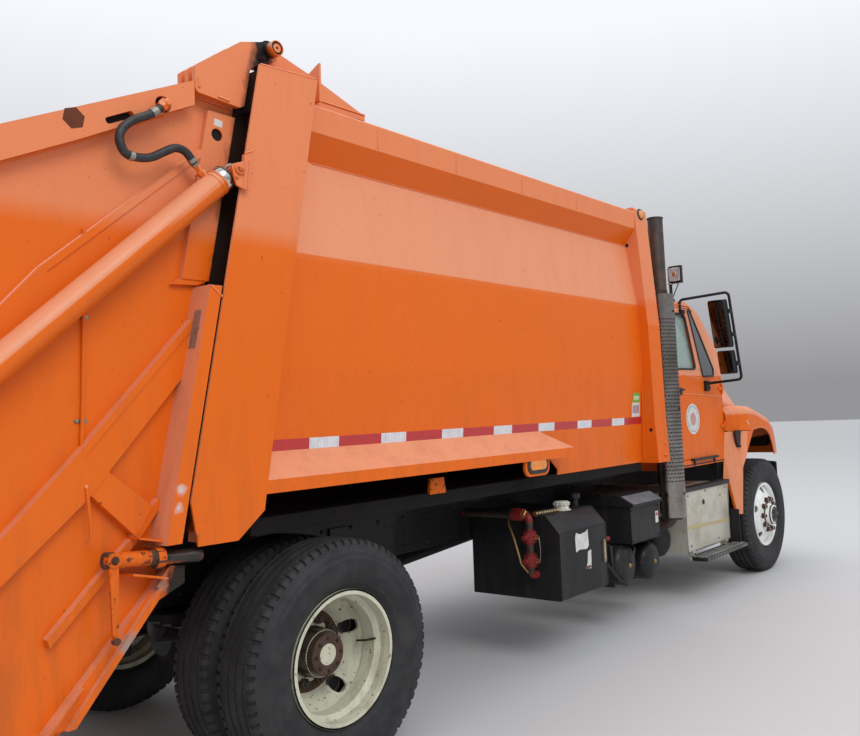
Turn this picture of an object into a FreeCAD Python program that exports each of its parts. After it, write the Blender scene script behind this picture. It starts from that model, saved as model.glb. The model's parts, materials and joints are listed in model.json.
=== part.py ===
import FreeCAD, Part
import math
import os

V = FreeCAD.Vector

# A rear-loading garbage truck. Millimetres; +X forward, +Y the truck's left, +Z up.
# Places are measured from the rear axle's centre at ground level. save() shifts the finished
# pieces along X, so that the origin is under the middle of the truck's length.

# ---- Overall sizes ----
WHEELBASE = 5340.0
NOSE_X = 6250.0
TAIL_X = -2300.0
SHIFT_X = -(NOSE_X + TAIL_X) / 2

# ---- Wheels and tyres ----
TYRE_R = 522.0
TYRE_HALF = 140.0
BEAD_R = 286.0
FLANGE_R = 298.5
RIM_HALF = 112.0
RIM_WALL = 12.0
AXLE_Z = TYRE_R
FRONT_TYRE_Y = 1022.0
DUAL_OUTER_Y = 1070.0
DUAL_SPACING = 318.0
HUB_R = 168.0
HAND_HOLES = 5
HAND_HOLE_R = 34.0
KINGPIN_Y = 800.0
FIT = 0.3

# ---- Chassis frame ----
RAIL_OUT = 432.0
RAIL_TOP = 1010.0
RAIL_DEEP = 257.0
RAIL_FLANGE = 90.0
RAIL_WEB = 10.0
FRAME_REAR = -700.0
FRAME_FRONT = 6060.0

BUMPER_LOW = 560.0
BUMPER_THICK = 14.0
BUMPER_TOP = 962.0
TOW_X = 6160.0
TOW_Z = 476.0
TOW_R = 22.0
TOW_THICK = 28.0

# ---- Refuse body ----
SHEET = 8.0
BODY_FLOOR_Z = 1165.0
BODY_FRONT_X = 3280.0
FRONT_POST = 190.0
SIDE_PROFILE = [(1050, 1170), (1100, 1820), (1090, 2360), (1015, 2830)]  # half width, height
RAIL_HIGH = 3085.0
RAIL_SIDE_Y = 1110.0
POST_OUT = 1190.0
POST_IN = 1010.0
POST_TOP_Z = 3150.0
POST_TOP_X = -424.0
POST_LEAN = 0.187
POST_WIDTH = 325.0
POST_KNEE_Z = 1290.0
FLANGE_THICK = 10.0
EYE_RECESS = 115.0
POST_LIP = 45.0
POST_FOOT_Z = 1122.0
LUG_Y = 1045.0
LUG_THICK = 40.0
SEAM = 12.0

# ---- Tailgate and packer ----
HINGE = (-327.0, 3251.0)
HINGE_PIN_R = 30.0
EAR_OUT = 1130.0
GATE_OUT = 1060.0
GATE_PLATE = 10.0
GATE_TOP = 3060.0
GATE_KNEE = 1128.0
THROAT_LOW = 990.0
RIB_PROUD = 26.0
UPPER_COLUMN = RIB_PROUD + 1
BEAM_PROUD = 64.0
RIB_LIP = 26.0
RIB_STEP = 6.0
HOPPER_AXIS = (-1612.0, 1100.0)
HOPPER_R = 650.0
EDGE_R = 690.0
THROAT_ANGLE = 50.5
PACK_STROKE = 700.0
BLADE_R = 640.0
BEAM_SLOPE = 0.501
BEAM_START = (-760.0, 2980.0)
GATE_REAR_X = -2060.0
SILL_ANGLE = 70.0
LIFT_EYE = (-553.0, 2645.0)
LIFT_BASE = (-1752.0, 1533.0)
TUBE_R = 55.0
CLEAR = 5.0
CYL_Y = GATE_OUT + RIB_PROUD + CLEAR + TUBE_R
LIFT_RING_R = 34.0
ROD_R = 26.0
LIFT_PIN_R = 24.0

# ---- Cab ----
CAB_BACK = 3620.0
CAB_HALF = 1000.0
CAB_SKIN = 42.0
CAB_LOW = 1060.0
CAB_FRONT = 4830.0
BELT_Z = 1835.0
ROOF_Z = 2500.0
ROOF_HALF = 905.0
DOOR_REAR = 3765.0
DOOR_FRONT = 4800.0
DOOR_LOW = 1120.0
GAP = 6.0
DOOR_HINGE = (DOOR_FRONT - 3, CAB_HALF + 10.5)
HOOD_REAR = 4836.0
HOOD_LOW = 1060.0
HOOD_SPLIT_Z = 1328.0
FENDER_OUT = 1150.0
FENDER_SKIN = 12.0
FENDER_ROUND = 80.0
QUARTER_LOW = 585.0
# each front fender's sections from the cab to the nose: place, crest height, half width
FENDER = [(HOOD_REAR, 1544.0, 1012.0), (4870.0, 1550.0, 1060.0), (4930.0, 1554.0, 1115.0),
          (5000.0, 1556.0, 1145.0), (5160.0, 1546.0, FENDER_OUT), (5340.0, 1505.0, FENDER_OUT),
          (5560.0, 1450.0, 1146.0), (5760.0, 1380.0, 1110.0), (5900.0, 1310.0, 1071.0),
          (5990.0, 1225.0, 1046.0), (6036.0, 1130.0, 1033.0)]
FENDER_ARCH = [(5140.0, HOOD_SPLIT_Z - GAP), (5057.0, 1236.0, 90), (4961.0, 1130.0, 90),
               (4889.0, 996.0, 120), (4800.0, 585.0)]
HOOD_PIVOT = (6085.0, 900.0)
STEP_OUT = 1050.0
MIRROR_OUT = 1330.0
STACK = (3490.0, 1085.0)
GUARD_R = 112.0


def block(x0, x1, y0, y1, z0, z1):
    lo = V(min(x0, x1), min(y0, y1), min(z0, z1))
    hi = V(max(x0, x1), max(y0, y1), max(z0, z1))
    return Part.makeBox(hi.x - lo.x, hi.y - lo.y, hi.z - lo.z, lo)


def loop(corners, place):
    """A closed wire through (u, v) or (u, v, radius) corners; a radius rounds its corner."""
    pts = [V(c[0], c[1], 0) for c in corners]
    radii = [c[2] if len(c) > 2 else 0 for c in corners]
    ends = []
    for i, p in enumerate(pts):
        a = pts[i - 1] - p
        b = pts[(i + 1) % len(pts)] - p
        a.normalize()
        b.normalize()
        if radii[i] <= 0:
            ends.append((p, None, p))
            continue
        half = a.getAngle(b) / 2
        run = radii[i] / math.tan(half)
        mid = a + b
        mid.normalize()
        ends.append((p + a * run, p + mid * (radii[i] / math.sin(half) - radii[i]), p + b * run))
    edges = []
    for i, (start, mid, end) in enumerate(ends):
        if mid is not None:
            edges.append(Part.Arc(place(start), place(mid), place(end)).toShape())
        nxt = ends[(i + 1) % len(ends)][0]
        if (nxt - end).Length > 1e-6:
            edges.append(Part.makeLine(place(end), place(nxt)))
    return Part.Wire(edges)


def side(corners, y0, y1):
    """An (x, z) outline, from y0 to y1."""
    wire = loop(corners, lambda p: V(p.x, y0, p.y))
    return Part.Face(wire).extrude(V(0, y1 - y0, 0))


def across(corners, x0, x1):
    """A (y, z) outline, from x0 to x1."""
    wire = loop(corners, lambda p: V(x0, p.x, p.y))
    return Part.Face(wire).extrude(V(x1 - x0, 0, 0))


def plan(corners, z0, z1):
    """An (x, y) outline, from z0 to z1."""
    wire = loop(corners, lambda p: V(p.x, p.y, z0))
    return Part.Face(wire).extrude(V(0, 0, z1 - z0))


def rod(a, b, r):
    return Part.makeCylinder(r, (b - a).Length, a, b - a)


def pipe(a, b, r_out, r_in):
    return rod(a, b, r_out).cut(rod(a, b, r_in))


def cross_rod(x, z, y0, y1, r):
    return rod(V(x, min(y0, y1), z), V(x, max(y0, y1), z), r)


def mirror(shape):
    return shape.mirror(V(0, 0, 0), V(0, 1, 0))


def joined(parts):
    shape = parts[0].multiFuse(parts[1:]) if len(parts) > 1 else parts[0]
    return shape.removeSplitter()


def both(shape):
    return [shape, mirror(shape)]


def spun(corners, x, z, flip=1.0):
    """A ring about the line along Y through (x, z), from a (radius, y) outline."""
    wire = loop(corners, lambda p: V(x + p.x, flip * p.y, z))
    return Part.Face(wire).revolve(V(x, 0, z), V(0, 1, 0), 360)


def bent(points, r, bend):
    """A round bar along straight runs, with an arc of radius bend at each corner."""
    edges = []
    start = points[0]
    for i in range(1, len(points) - 1):
        a = points[i - 1] - points[i]
        b = points[i + 1] - points[i]
        a.normalize()
        b.normalize()
        half = a.getAngle(b) / 2
        run = bend / math.tan(half)
        mid = a + b
        mid.normalize()
        p0 = points[i] + a * run
        p1 = points[i] + b * run
        edges.append(Part.makeLine(start, p0))
        edges.append(Part.Arc(p0, points[i] + mid * (bend / math.sin(half) - bend), p1).toShape())
        start = p1
    edges.append(Part.makeLine(start, points[-1]))
    path = Part.Wire(edges)
    ring = Part.Wire(Part.makeCircle(r, points[0], points[1] - points[0]))
    return path.makePipeShell([ring], True, False)


PIECES = {}


def save(name, shapes):
    shapes = shapes if isinstance(shapes, list) else [shapes]
    solids = [s for shape in shapes for s in shape.Solids]
    PIECES[name] = Part.makeCompound(solids)


# ---- Wheels ----
def tyre(y):
    """One tyre, with its bulged walls and round shoulders, centred at y."""
    tread = TYRE_HALF - 36
    wall = TYRE_HALF
    half = [(BEAD_R, 98), (FLANGE_R + 2, 98), (FLANGE_R + 62, wall, 60), (TYRE_R - 52, wall, 60)]
    half += [(TYRE_R - 6, tread + 18, 16), (TYRE_R, tread - 20)]
    outline = [(r, y + w) + tuple(rest) for r, w, *rest in half]
    outline += [(r, y - w) + tuple(rest) for r, w, *rest in reversed(half)]
    return outline


def rim(y, disc_y, x, flip):
    """A steel disc wheel: rim barrel centred at y, disc dished to disc_y, round hand holes."""
    w = RIM_HALF
    barrel = [(BEAD_R, y - w + 14), (FLANGE_R, y - w + 14), (FLANGE_R, y - w), (BEAD_R - RIM_WALL, y - w)]
    barrel += [(BEAD_R - RIM_WALL, y - 62), (BEAD_R - 34, y - 44), (BEAD_R - 34, y + 30)]
    barrel += [(BEAD_R - RIM_WALL, y + 50), (BEAD_R - RIM_WALL, y + w), (FLANGE_R, y + w)]
    barrel += [(FLANGE_R, y + w - 14), (BEAD_R, y + w - 14), (BEAD_R, y + 50), (BEAD_R - 22, y + 30)]
    barrel += [(BEAD_R - 22, y - 44), (BEAD_R, y - 62)]
    shell = spun(barrel, x, AXLE_Z, flip)
    lean = disc_y - y
    near = y + math.copysign(min(abs(lean), w - 20), lean)
    t = 12 if lean >= 0 else -12
    dish = [(HUB_R - 68, disc_y), (HUB_R + 22, disc_y), (BEAD_R - 14, near - 2.4 * t),
            (BEAD_R - 14, near - 3.8 * t)]
    dish += [(HUB_R + 22, disc_y - t), (HUB_R - 68, disc_y - t)]
    disc = spun(dish, x, AXLE_Z, flip)
    for k in range(HAND_HOLES):
        a = 2 * math.pi * (k + 0.25) / HAND_HOLES
        hx = x + 225 * math.cos(a)
        hz = AXLE_Z + 225 * math.sin(a)
        disc = disc.cut(cross_rod(hx, hz, flip * (disc_y - 90), flip * (disc_y + 90), HAND_HOLE_R))
    return joined([shell, disc])


def studs(x, y0, y1, flip):
    out = []
    for k in range(10):
        a = 2 * math.pi * k / 10
        sx = x + 142 * math.cos(a)
        sz = AXLE_Z + 142 * math.sin(a)
        out.append(cross_rod(sx, sz, flip * y0, flip * y1, 15))
    return out


def front_wheel(flip):
    disc = FRONT_TYRE_Y + RIM_HALF + 6
    wheel = rim(FRONT_TYRE_Y, disc, WHEELBASE, flip)
    hub = [(41.3, disc - 175), (150, disc - 175), (160, disc - 12), (160, disc + 16), (108, disc + 22)]
    hub += [(86, disc + 74), (60, disc + 84), (0, disc + 84), (0, disc - 60), (41.3, disc - 60)]
    hub = spun(hub, WHEELBASE, AXLE_Z, flip)
    return joined([wheel, hub] + studs(WHEELBASE, disc, disc + 52, flip))


def rear_wheels(flip):
    mid = DUAL_OUTER_Y - DUAL_SPACING / 2
    outer = rim(DUAL_OUTER_Y, mid, 0, flip)
    inner = rim(DUAL_OUTER_Y - DUAL_SPACING, mid - 0.5, 0, flip)
    hub = [(70.3, mid - 210), (200, mid - 210), (200, mid - 60), (140, mid - 50), (140, mid + 20)]
    hub += [(112, mid + 30), (104, mid + 120), (84, mid + 150), (0, mid + 150), (0, mid - 40),
            (70.3, mid - 40)]
    hub = spun(hub, 0, AXLE_Z, flip)
    return joined([outer, inner, hub] + studs(0, mid - 30, mid + 48, flip))


def wheels():
    for name, flip in (("left", 1.0), ("right", -1.0)):
        save("front_tyre_" + name, spun(tyre(FRONT_TYRE_Y), WHEELBASE, AXLE_Z, flip))
        save("front_wheel_" + name, front_wheel(flip))
        duals = [spun(tyre(y), 0, AXLE_Z, flip) for y in (DUAL_OUTER_Y, DUAL_OUTER_Y - DUAL_SPACING)]
        save("rear_tyres_" + name, duals)
        save("rear_wheels_" + name, rear_wheels(flip))


# ---- Chassis ----
def chassis():
    z1 = RAIL_TOP
    z0 = RAIL_TOP - RAIL_DEEP
    out = RAIL_OUT
    web = RAIL_OUT - RAIL_WEB
    lip = RAIL_OUT - RAIL_FLANGE
    channel = [(out, z0), (out, z1), (lip, z1), (lip, z1 - RAIL_WEB), (web, z1 - RAIL_WEB)]
    channel += [(web, z0 + RAIL_WEB), (lip, z0 + RAIL_WEB), (lip, z0)]
    rail = across(channel, FRAME_REAR, FRAME_FRONT)
    beams = []
    for x in (FRAME_REAR, 620.0, 1750.0, 2750.0, 3400.0, 5900.0):
        beam = block(x, x + 70, -web, web, z0 + 120, z1 - 40)
        beams.append(beam.cut(block(x + 8, x + 80, -web + 12, web - 12, z0 + 128, z1 - 48)))
    hangers = []
    for x in (FRAME_REAR + 60, 620, WHEELBASE - 640, WHEELBASE + 560):
        low = AXLE_Z + 60 if x < 1000 else AXLE_Z + 20
        hangers += both(side([(x - 60, z1 - 30), (x + 80, z1 - 30), (x + 40, low), (x - 20, low)], out,
                             out + 16))
    px, pz = HOOD_PIVOT
    ears = both(side([(px - 90, pz - 40), (px + 32, pz - 32, 30), (px + 32, pz + 32, 30),
                      (px - 90, pz + 40)], out, out + 18))
    ears = [ear.cut(cross_rod(px, pz, -600, 600, 15 + FIT)) for ear in ears]
    save("chassis_frame", joined(both(rail) + beams + hangers + ears))


def leaf_pack(x, z, y, length, leaves, thick=14.0):
    """Leaves that shorten downwards, bowed so that their ends rise."""
    out = []
    for k in range(leaves):
        half = length / 2 * (1 - 0.72 * k / leaves)
        rise = 0.00018 * half * half
        top = z - thick * k
        lo = Part.Arc(V(x - half, y, top - thick + rise), V(x, y, top - thick),
                      V(x + half, y, top - thick + rise))
        hi = Part.Arc(V(x + half, y, top + rise), V(x, y, top), V(x - half, y, top + rise))
        e1 = Part.makeLine(V(x + half, y, top - thick + rise), V(x + half, y, top + rise))
        e2 = Part.makeLine(V(x - half, y, top + rise), V(x - half, y, top - thick + rise))
        out.append(Part.Face(Part.Wire([lo.toShape(), e1, hi.toShape(), e2])).extrude(V(0, 76, 0)))
    return joined(out)


def axles():
    y_in = KINGPIN_Y - 55
    beam = [(-y_in, AXLE_Z - 50), (-520, AXLE_Z - 130), (520, AXLE_Z - 130), (y_in, AXLE_Z - 50)]
    beam += [(y_in, AXLE_Z + 50), (540, AXLE_Z - 20), (-540, AXLE_Z - 20), (-y_in, AXLE_Z + 50)]
    beam = across(beam, WHEELBASE - 55, WHEELBASE + 55)
    ends = both(rod(V(WHEELBASE, KINGPIN_Y, AXLE_Z - 60), V(WHEELBASE, KINGPIN_Y, AXLE_Z + 60), 56))
    bores = both(rod(V(WHEELBASE, KINGPIN_Y, AXLE_Z - 60), V(WHEELBASE, KINGPIN_Y, AXLE_Z + 60), 25 + FIT))
    beam = joined([beam] + ends)
    for bore in bores:
        beam = beam.cut(bore)
    top = AXLE_Z - 20 + 70
    springs = both(leaf_pack(WHEELBASE, top, RAIL_OUT + 16, 1180, 5))
    save("front_axle", joined([beam] + springs))
    tube = cross_rod(0, AXLE_Z, -735, 735, 66)
    bowl = Part.makeSphere(215, V(0, 0, AXLE_Z))
    bowl = bowl.common(block(-190, 240, -215, 215, AXLE_Z - 215, AXLE_Z + 215))
    nose = Part.makeCone(150, 62, 190, V(150, 0, AXLE_Z), V(1, 0, 0))
    spindles = both(cross_rod(0, AXLE_Z, 700, 865, 70))
    springs = both(leaf_pack(0, AXLE_Z + 66 + 112, RAIL_OUT + 16, 1240, 8))
    shaft = rod(V(330, 0, AXLE_Z), V(3920, 0, 841.6), 52).common(block(300, 3880, -60, 60, 400, 1000))
    save("rear_axle", joined([tube, bowl, nose, shaft] + spindles + springs))
    for name, flip in (("left", 1.0), ("right", -1.0)):
        save("knuckle_" + name, knuckle(flip))
    reach = 190
    bar = cross_rod(WHEELBASE - reach, AXLE_Z - 41, -KINGPIN_Y + 40, KINGPIN_Y - 40, 18)
    ends = both(rod(V(WHEELBASE - reach, KINGPIN_Y - 40, AXLE_Z - 62),
                    V(WHEELBASE - reach, KINGPIN_Y - 40, AXLE_Z - 18), 30))
    save("tie_rod", joined([bar] + ends))


def knuckle(flip):
    """Fork round the axle's end, kingpin, backing plate, spindle and steering arm."""
    k = V(WHEELBASE, flip * KINGPIN_Y, AXLE_Z)
    z = AXLE_Z
    top = rod(k + V(0, 0, 60 + FIT), k + V(0, 0, 92), 52)
    low = rod(k - V(0, 0, 92), k - V(0, 0, 60 + FIT), 52)
    pin = rod(k - V(0, 0, 100), k + V(0, 0, 100), 25)
    y1 = KINGPIN_Y + 57
    yoke = block(WHEELBASE - 52, WHEELBASE + 52, flip * y1, flip * (y1 + 45), z - 92, z + 92)
    tabs = [block(WHEELBASE - 40, WHEELBASE + 40, flip * KINGPIN_Y, flip * (y1 + 20), *span)
            for span in ((z + 60 + FIT, z + 92), (z - 92, z - 60 - FIT))]
    spindle = cross_rod(WHEELBASE, z, flip * (y1 + 20), flip * (FRONT_TYRE_Y + 50), 41)
    plate = cross_rod(WHEELBASE, z, flip * (y1 + 45), flip * (y1 + 60), 190)
    arm = plan([(WHEELBASE - 230, flip * (KINGPIN_Y - 80)), (WHEELBASE - 150, flip * (KINGPIN_Y - 80)),
                (WHEELBASE + 20, flip * (y1 + 10)), (WHEELBASE - 60,
                                                     flip * (y1 + 10))], z - 92, z - 62 - FIT)
    return joined([top, low, pin, yoke, spindle, plate, arm] + tabs)


def engine():
    web = RAIL_OUT - RAIL_WEB
    lip = RAIL_OUT - RAIL_FLANGE
    shelf_z = RAIL_TOP - RAIL_DEEP + RAIL_WEB
    case = block(4900, 5680, -330, 330, 690, 1430)
    gearbox = block(3920, 4900, -210, 210, 700, 1010)
    flange = rod(V(3880, 0, 838), V(3920, 0, 838), 80)
    feet = [block(x, x + 90, -web, web, shelf_z, shelf_z + 40) for x in (5000, 5500)]
    radiator = block(5740, 5830, -lip, lip, 800, 1400)
    save("engine_block", [joined([case, gearbox, flange] + feet), radiator])


def bumper():
    t = BUMPER_THICK
    half = [(NOSE_X, 840, 120), (NOSE_X - 110, 985, 60), (NOSE_X - 270, 1045), (NOSE_X - 274, 1045 - t),
            (NOSE_X - 118, 985 - t, 50), (NOSE_X - t, 840 - t / 2, 110)]
    bar = half + [(x, -y) + tuple(rest) for x, y, *rest in reversed(half)]
    face = plan(bar, BUMPER_LOW, BUMPER_TOP)
    mounts = both(block(FRAME_FRONT, NOSE_X - BUMPER_THICK, RAIL_OUT - 60, RAIL_OUT - 10, 600, 790))
    ties = both(block(FRAME_FRONT - 85, FRAME_FRONT + 50, RAIL_OUT - 20, RAIL_OUT - RAIL_WEB,
                      RAIL_TOP - RAIL_DEEP + RAIL_WEB, RAIL_TOP - RAIL_WEB))
    eyes = both(block(FRAME_FRONT + 10, NOSE_X - 40, RAIL_OUT - 60, RAIL_OUT - 60 + TOW_THICK, 430, 620))
    for y in (RAIL_OUT - 60, -RAIL_OUT + 60 - TOW_THICK):
        hole = cross_rod(TOW_X, TOW_Z, y - 5, y + TOW_THICK + 5, TOW_R)
        eyes = [e.cut(hole) for e in eyes]
    save("front_bumper", joined([face] + mounts + ties + eyes))


# ---- Cab ----
CAB_OUTLINE = [(CAB_BACK, CAB_LOW), (CAB_BACK, ROOF_Z - 40, 110), (4330, ROOF_Z, 120),
               (4560, ROOF_Z - 90, 60),
               (5000, 1850, 60), (4990, 1760, 40), (CAB_FRONT, 1540, 20), (CAB_FRONT, CAB_LOW)]


def cab_form(inset, ends=True):
    """The cab's outside, pulled in by inset, at the sides only without ends: it leans in above the belt."""
    outline = CAB_OUTLINE
    if inset and ends:
        lo, hi = CAB_BACK + inset, CAB_FRONT - inset
        outline = [(lo, CAB_LOW + inset), (lo, ROOF_Z - 40 - inset, 80), (4324, ROOF_Z - inset, 90)]
        outline += [(4524, ROOF_Z - 90 - inset, 40), (4934, 1850, 30), (hi, 1600, 20),
                    (hi, CAB_LOW + inset)]
    y0 = CAB_HALF - inset
    y1 = ROOF_HALF - inset
    body = side(outline, -y0, y0)
    trim = across([(y0, BELT_Z), (y0 + 400, BELT_Z), (y0 + 400, ROOF_Z + 50), (y1, ROOF_Z + 50)], 3000,
                  5500)
    nose = plan([(4815, y0), (5100, y0 - 180), (5300, y0), (5300, y0 + 200), (4815, y0 + 200)], 1000, 2600)
    for cutter in both(trim) + both(nose):
        body = body.cut(cutter)
    return body


def door_outline(inset):
    i = inset
    return [(DOOR_REAR + i, DOOR_LOW + i, 60), (DOOR_REAR + i, 2440 - i, 60), (4395 - i, 2440 - i, 50),
            (4690 - i, BELT_Z + 60, 60), (DOOR_FRONT - i, BELT_Z - 40, 40), (DOOR_FRONT - i, 1300, 40),
            (DOOR_FRONT - 160 - i, DOOR_LOW + i, 60)]


DOOR_HINGES = (1380.0, 1720.0)
WINDOW = [(3850, BELT_Z + 55, 50), (3850, 2380, 50), (4340, 2380, 50), (4560, BELT_Z + 70, 40)]


def cab():
    shell = cab_form(0).cut(cab_form(CAB_SKIN))
    hole = side(door_outline(0), 700, 1100).cut(cab_form(CAB_SKIN + CLEAR, False))
    shell = shell.cut(hole).cut(mirror(hole))
    screen = across([(-780, 1905, 60), (-700, 2400, 60), (700, 2400, 60), (780, 1905, 60)], 4350, 5100)
    back = across([(-520, 1950, 50), (-520, 2330, 50), (520, 2330, 50), (520, 1950, 50)], CAB_BACK - 50,
                  CAB_BACK + 100)
    glass_layer = cab_form(CAB_SKIN / 2 - 3).cut(cab_form(CAB_SKIN / 2 + 3))
    glass = [glass_layer.common(screen), glass_layer.common(back)]
    shell = shell.cut(screen).cut(back)
    mounts = both(block(4000, 4140, RAIL_OUT - 70, RAIL_OUT - 10, RAIL_TOP, CAB_LOW))
    mounts += both(block(4640, 4780, RAIL_OUT - 70, RAIL_OUT - 10, RAIL_TOP, CAB_LOW))
    hx, hy = DOOR_HINGE
    hinges = []
    for z in DOOR_HINGES:
        for low in (z - 45, z + 15):
            hinges += both(rod(V(hx, hy, low), V(hx, hy, low + 30), 10))
            hinges += both(block(hx, hx + 18, CAB_HALF, hy + 2, low, low + 30))
        hinges += both(rod(V(hx, hy, z - 40), V(hx, hy, z + 40), 5))
    save("cab_shell", joined([shell] + mounts + hinges))
    save("cab_glass", glass)
    panel = side(door_outline(GAP), 700, 1100)
    window = side(WINDOW, 600, 1200)
    door = cab_form(0).cut(cab_form(CAB_SKIN, False)).common(panel)
    pane = glass_layer.common(window).common(block(3000, 5500, 700, 1100, 1000, 2600))
    leaves = []
    for z in DOOR_HINGES:
        leaves.append(rod(V(hx, hy, z - 15 + FIT), V(hx, hy, z + 15 - FIT), 10))
        leaves.append(block(hx - 70, hx, CAB_HALF - 1, hy + 2, z - 15 + FIT, z + 15 - FIT))
    door = joined([door.cut(window)] + leaves).cut(rod(V(hx, hy, 1000), V(hx, hy, 2000), 5 + FIT))
    save("door_left", door)
    save("door_right", mirror(door))
    save("door_glass_left", pane)
    save("door_glass_right", mirror(pane))
    save("mirror_left", wing_mirror())
    save("mirror_right", mirror(wing_mirror()))
    work_lamp()
    interior()
    quarters()


def wing_mirror():
    """Tube frame on the door, with a tall glass head and a small round-cornered one."""
    foot = block(4425, 4500, CAB_HALF, CAB_HALF + 26, 1700, 1790)
    y = MIRROR_OUT
    low, high = (4487, 1788), (4310, 2540)

    def tube_x(z):
        return low[0] + (z - low[1]) * (high[0] - low[0]) / (high[1] - low[1])

    def head(z0, z1, deep, wide):
        corners = [(tube_x(z0) - 22, z0, 28), (tube_x(z1) - 22, z1, 28), (tube_x(z1) - 22 - deep, z1, 28),
                   (tube_x(z0) - 22 - deep, z0, 28)]
        return side(corners, y - 15 - wide, y - 15)

    frame = bent([V(4462, CAB_HALF + 10, 1765), V(low[0], y, low[1]), V(high[0], y, high[1]),
                  V(4190, 925, 2505), V(4190, 925, 2405)],
                 12, 36)
    arms = [rod(V(tube_x(z), y, z), V(tube_x(z) - 60, y - 40, z), 8) for z in (1930, 2180, 2380)]
    shoe = block(4162, 4218, 895, 960, 2380, 2416)
    return joined([foot, frame, head(2065, 2475, 74, 150), head(1838, 2040, 70, 135),
                   shoe] + arms).cut(cab_form(0))


def work_lamp():
    """A lamp on a short stem at the roof's edge, facing back along the body."""
    stem = rod(V(4130, 880, ROOF_Z - 40), V(4130, 880, ROOF_Z + 190), 14)
    foot = rod(V(4130, 880, ROOF_Z - 40), V(4130, 880, ROOF_Z + 8), 30)
    case = plan([(4112, 862, 20), (4112, 1000, 20), (4172, 985, 25), (4172, 877, 25)], ROOF_Z + 150,
                ROOF_Z + 300)
    save("work_lamp", mirror(joined([stem, foot, case]).cut(cab_form(0))))


def interior():
    seats = []
    for y in (520.0, -520.0):
        base = block(3900, 4330, y - 240, y + 240, CAB_LOW + CAB_SKIN, 1400)
        cushion = side([(3860, 1400, 30), (4380, 1400, 40), (4390, 1500, 50), (3860, 1500, 30)], y - 260,
                       y + 260)
        back = side([(3800, 1470, 30), (3905, 1470, 20), (3820, 2160, 50), (3700, 2160, 40)], y - 250,
                    y + 250)
        seats.append(joined([base, cushion, back]))
    floor = CAB_LOW + CAB_SKIN
    front = CAB_FRONT - CAB_SKIN - 8
    half = CAB_HALF - CAB_SKIN - 58
    dash = side([(4560, 1500, 40), (4560, 1740, 60), (front, 1790), (front, floor), (front - 80, floor),
                 (front - 80, 1480, 60)],
                -half, half)
    low = V(4600, 520, 1600)
    top = V(4440, 520, 1760)
    column = rod(low, top, 28)
    wheel = Part.makeTorus(225, 16, top, top - low)
    spokes = rod(top - V(0, 220, 0), top + V(0, 220, 0), 12)
    save("cab_interior", seats + [joined([dash, column, wheel, spokes])])


def quarters():
    """The fixed lower rear quarter of each front fender: it flares out from the cab's side."""
    split = HOOD_SPLIT_Z - GAP
    t = FENDER_SKIN
    out = FENDER_OUT
    foot = [(4640, CAB_HALF), (4700, 1025), (4760, 1090), (4815, out - 3), (5200, out)]
    head = [(4815, CAB_HALF), (4850, 1035), (4900, 1085), (5000, out - 4), (5200, out)]
    inward = ((30, 0), (14, -10), (10, -t), (6, -t), (0, -t))
    wires = []
    for row, z in ((foot, QUARTER_LOW), (head, split)):
        inside = [(x + dx, y + dy) for (x, y), (dx, dy) in zip(row, inward)]
        wires.append(loop(row + inside[::-1], lambda p, z=z: V(p.x, p.y, z)))
    wall = Part.makeLoft(wires, True, True)
    arch = side([(4766, QUARTER_LOW), (4766, 861, 20), (4600, 1000), (4600, split)] + FENDER_ARCH, 900,
                1200)
    save("fender_quarters", both(wall.common(arch)))
    flap = block(4692, 4702, 900, 1136, 355, 640)
    stay = block(4692, 4702, 900, 960, 600, CAB_LOW)
    save("mud_flaps", both(joined([flap, stay])))


def fender_form(inset):
    """A front fender's outside, pulled in by inset: it flares from the cab and falls to the nose."""
    low = HOOD_LOW - (10 if inset else 0)
    wires = []
    for x, top, out in FENDER:
        r = min(FENDER_ROUND - inset, 0.7 * (top - low))
        corners = [(560, low), (560, top - inset), (out - inset, top - inset, r), (out - inset, low)]
        x = min(x, FENDER[-1][0] - inset)
        wires.append(loop(corners, lambda p, x=x: V(x, p.x, p.y)))
    return Part.makeLoft(wires, True, True)


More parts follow.
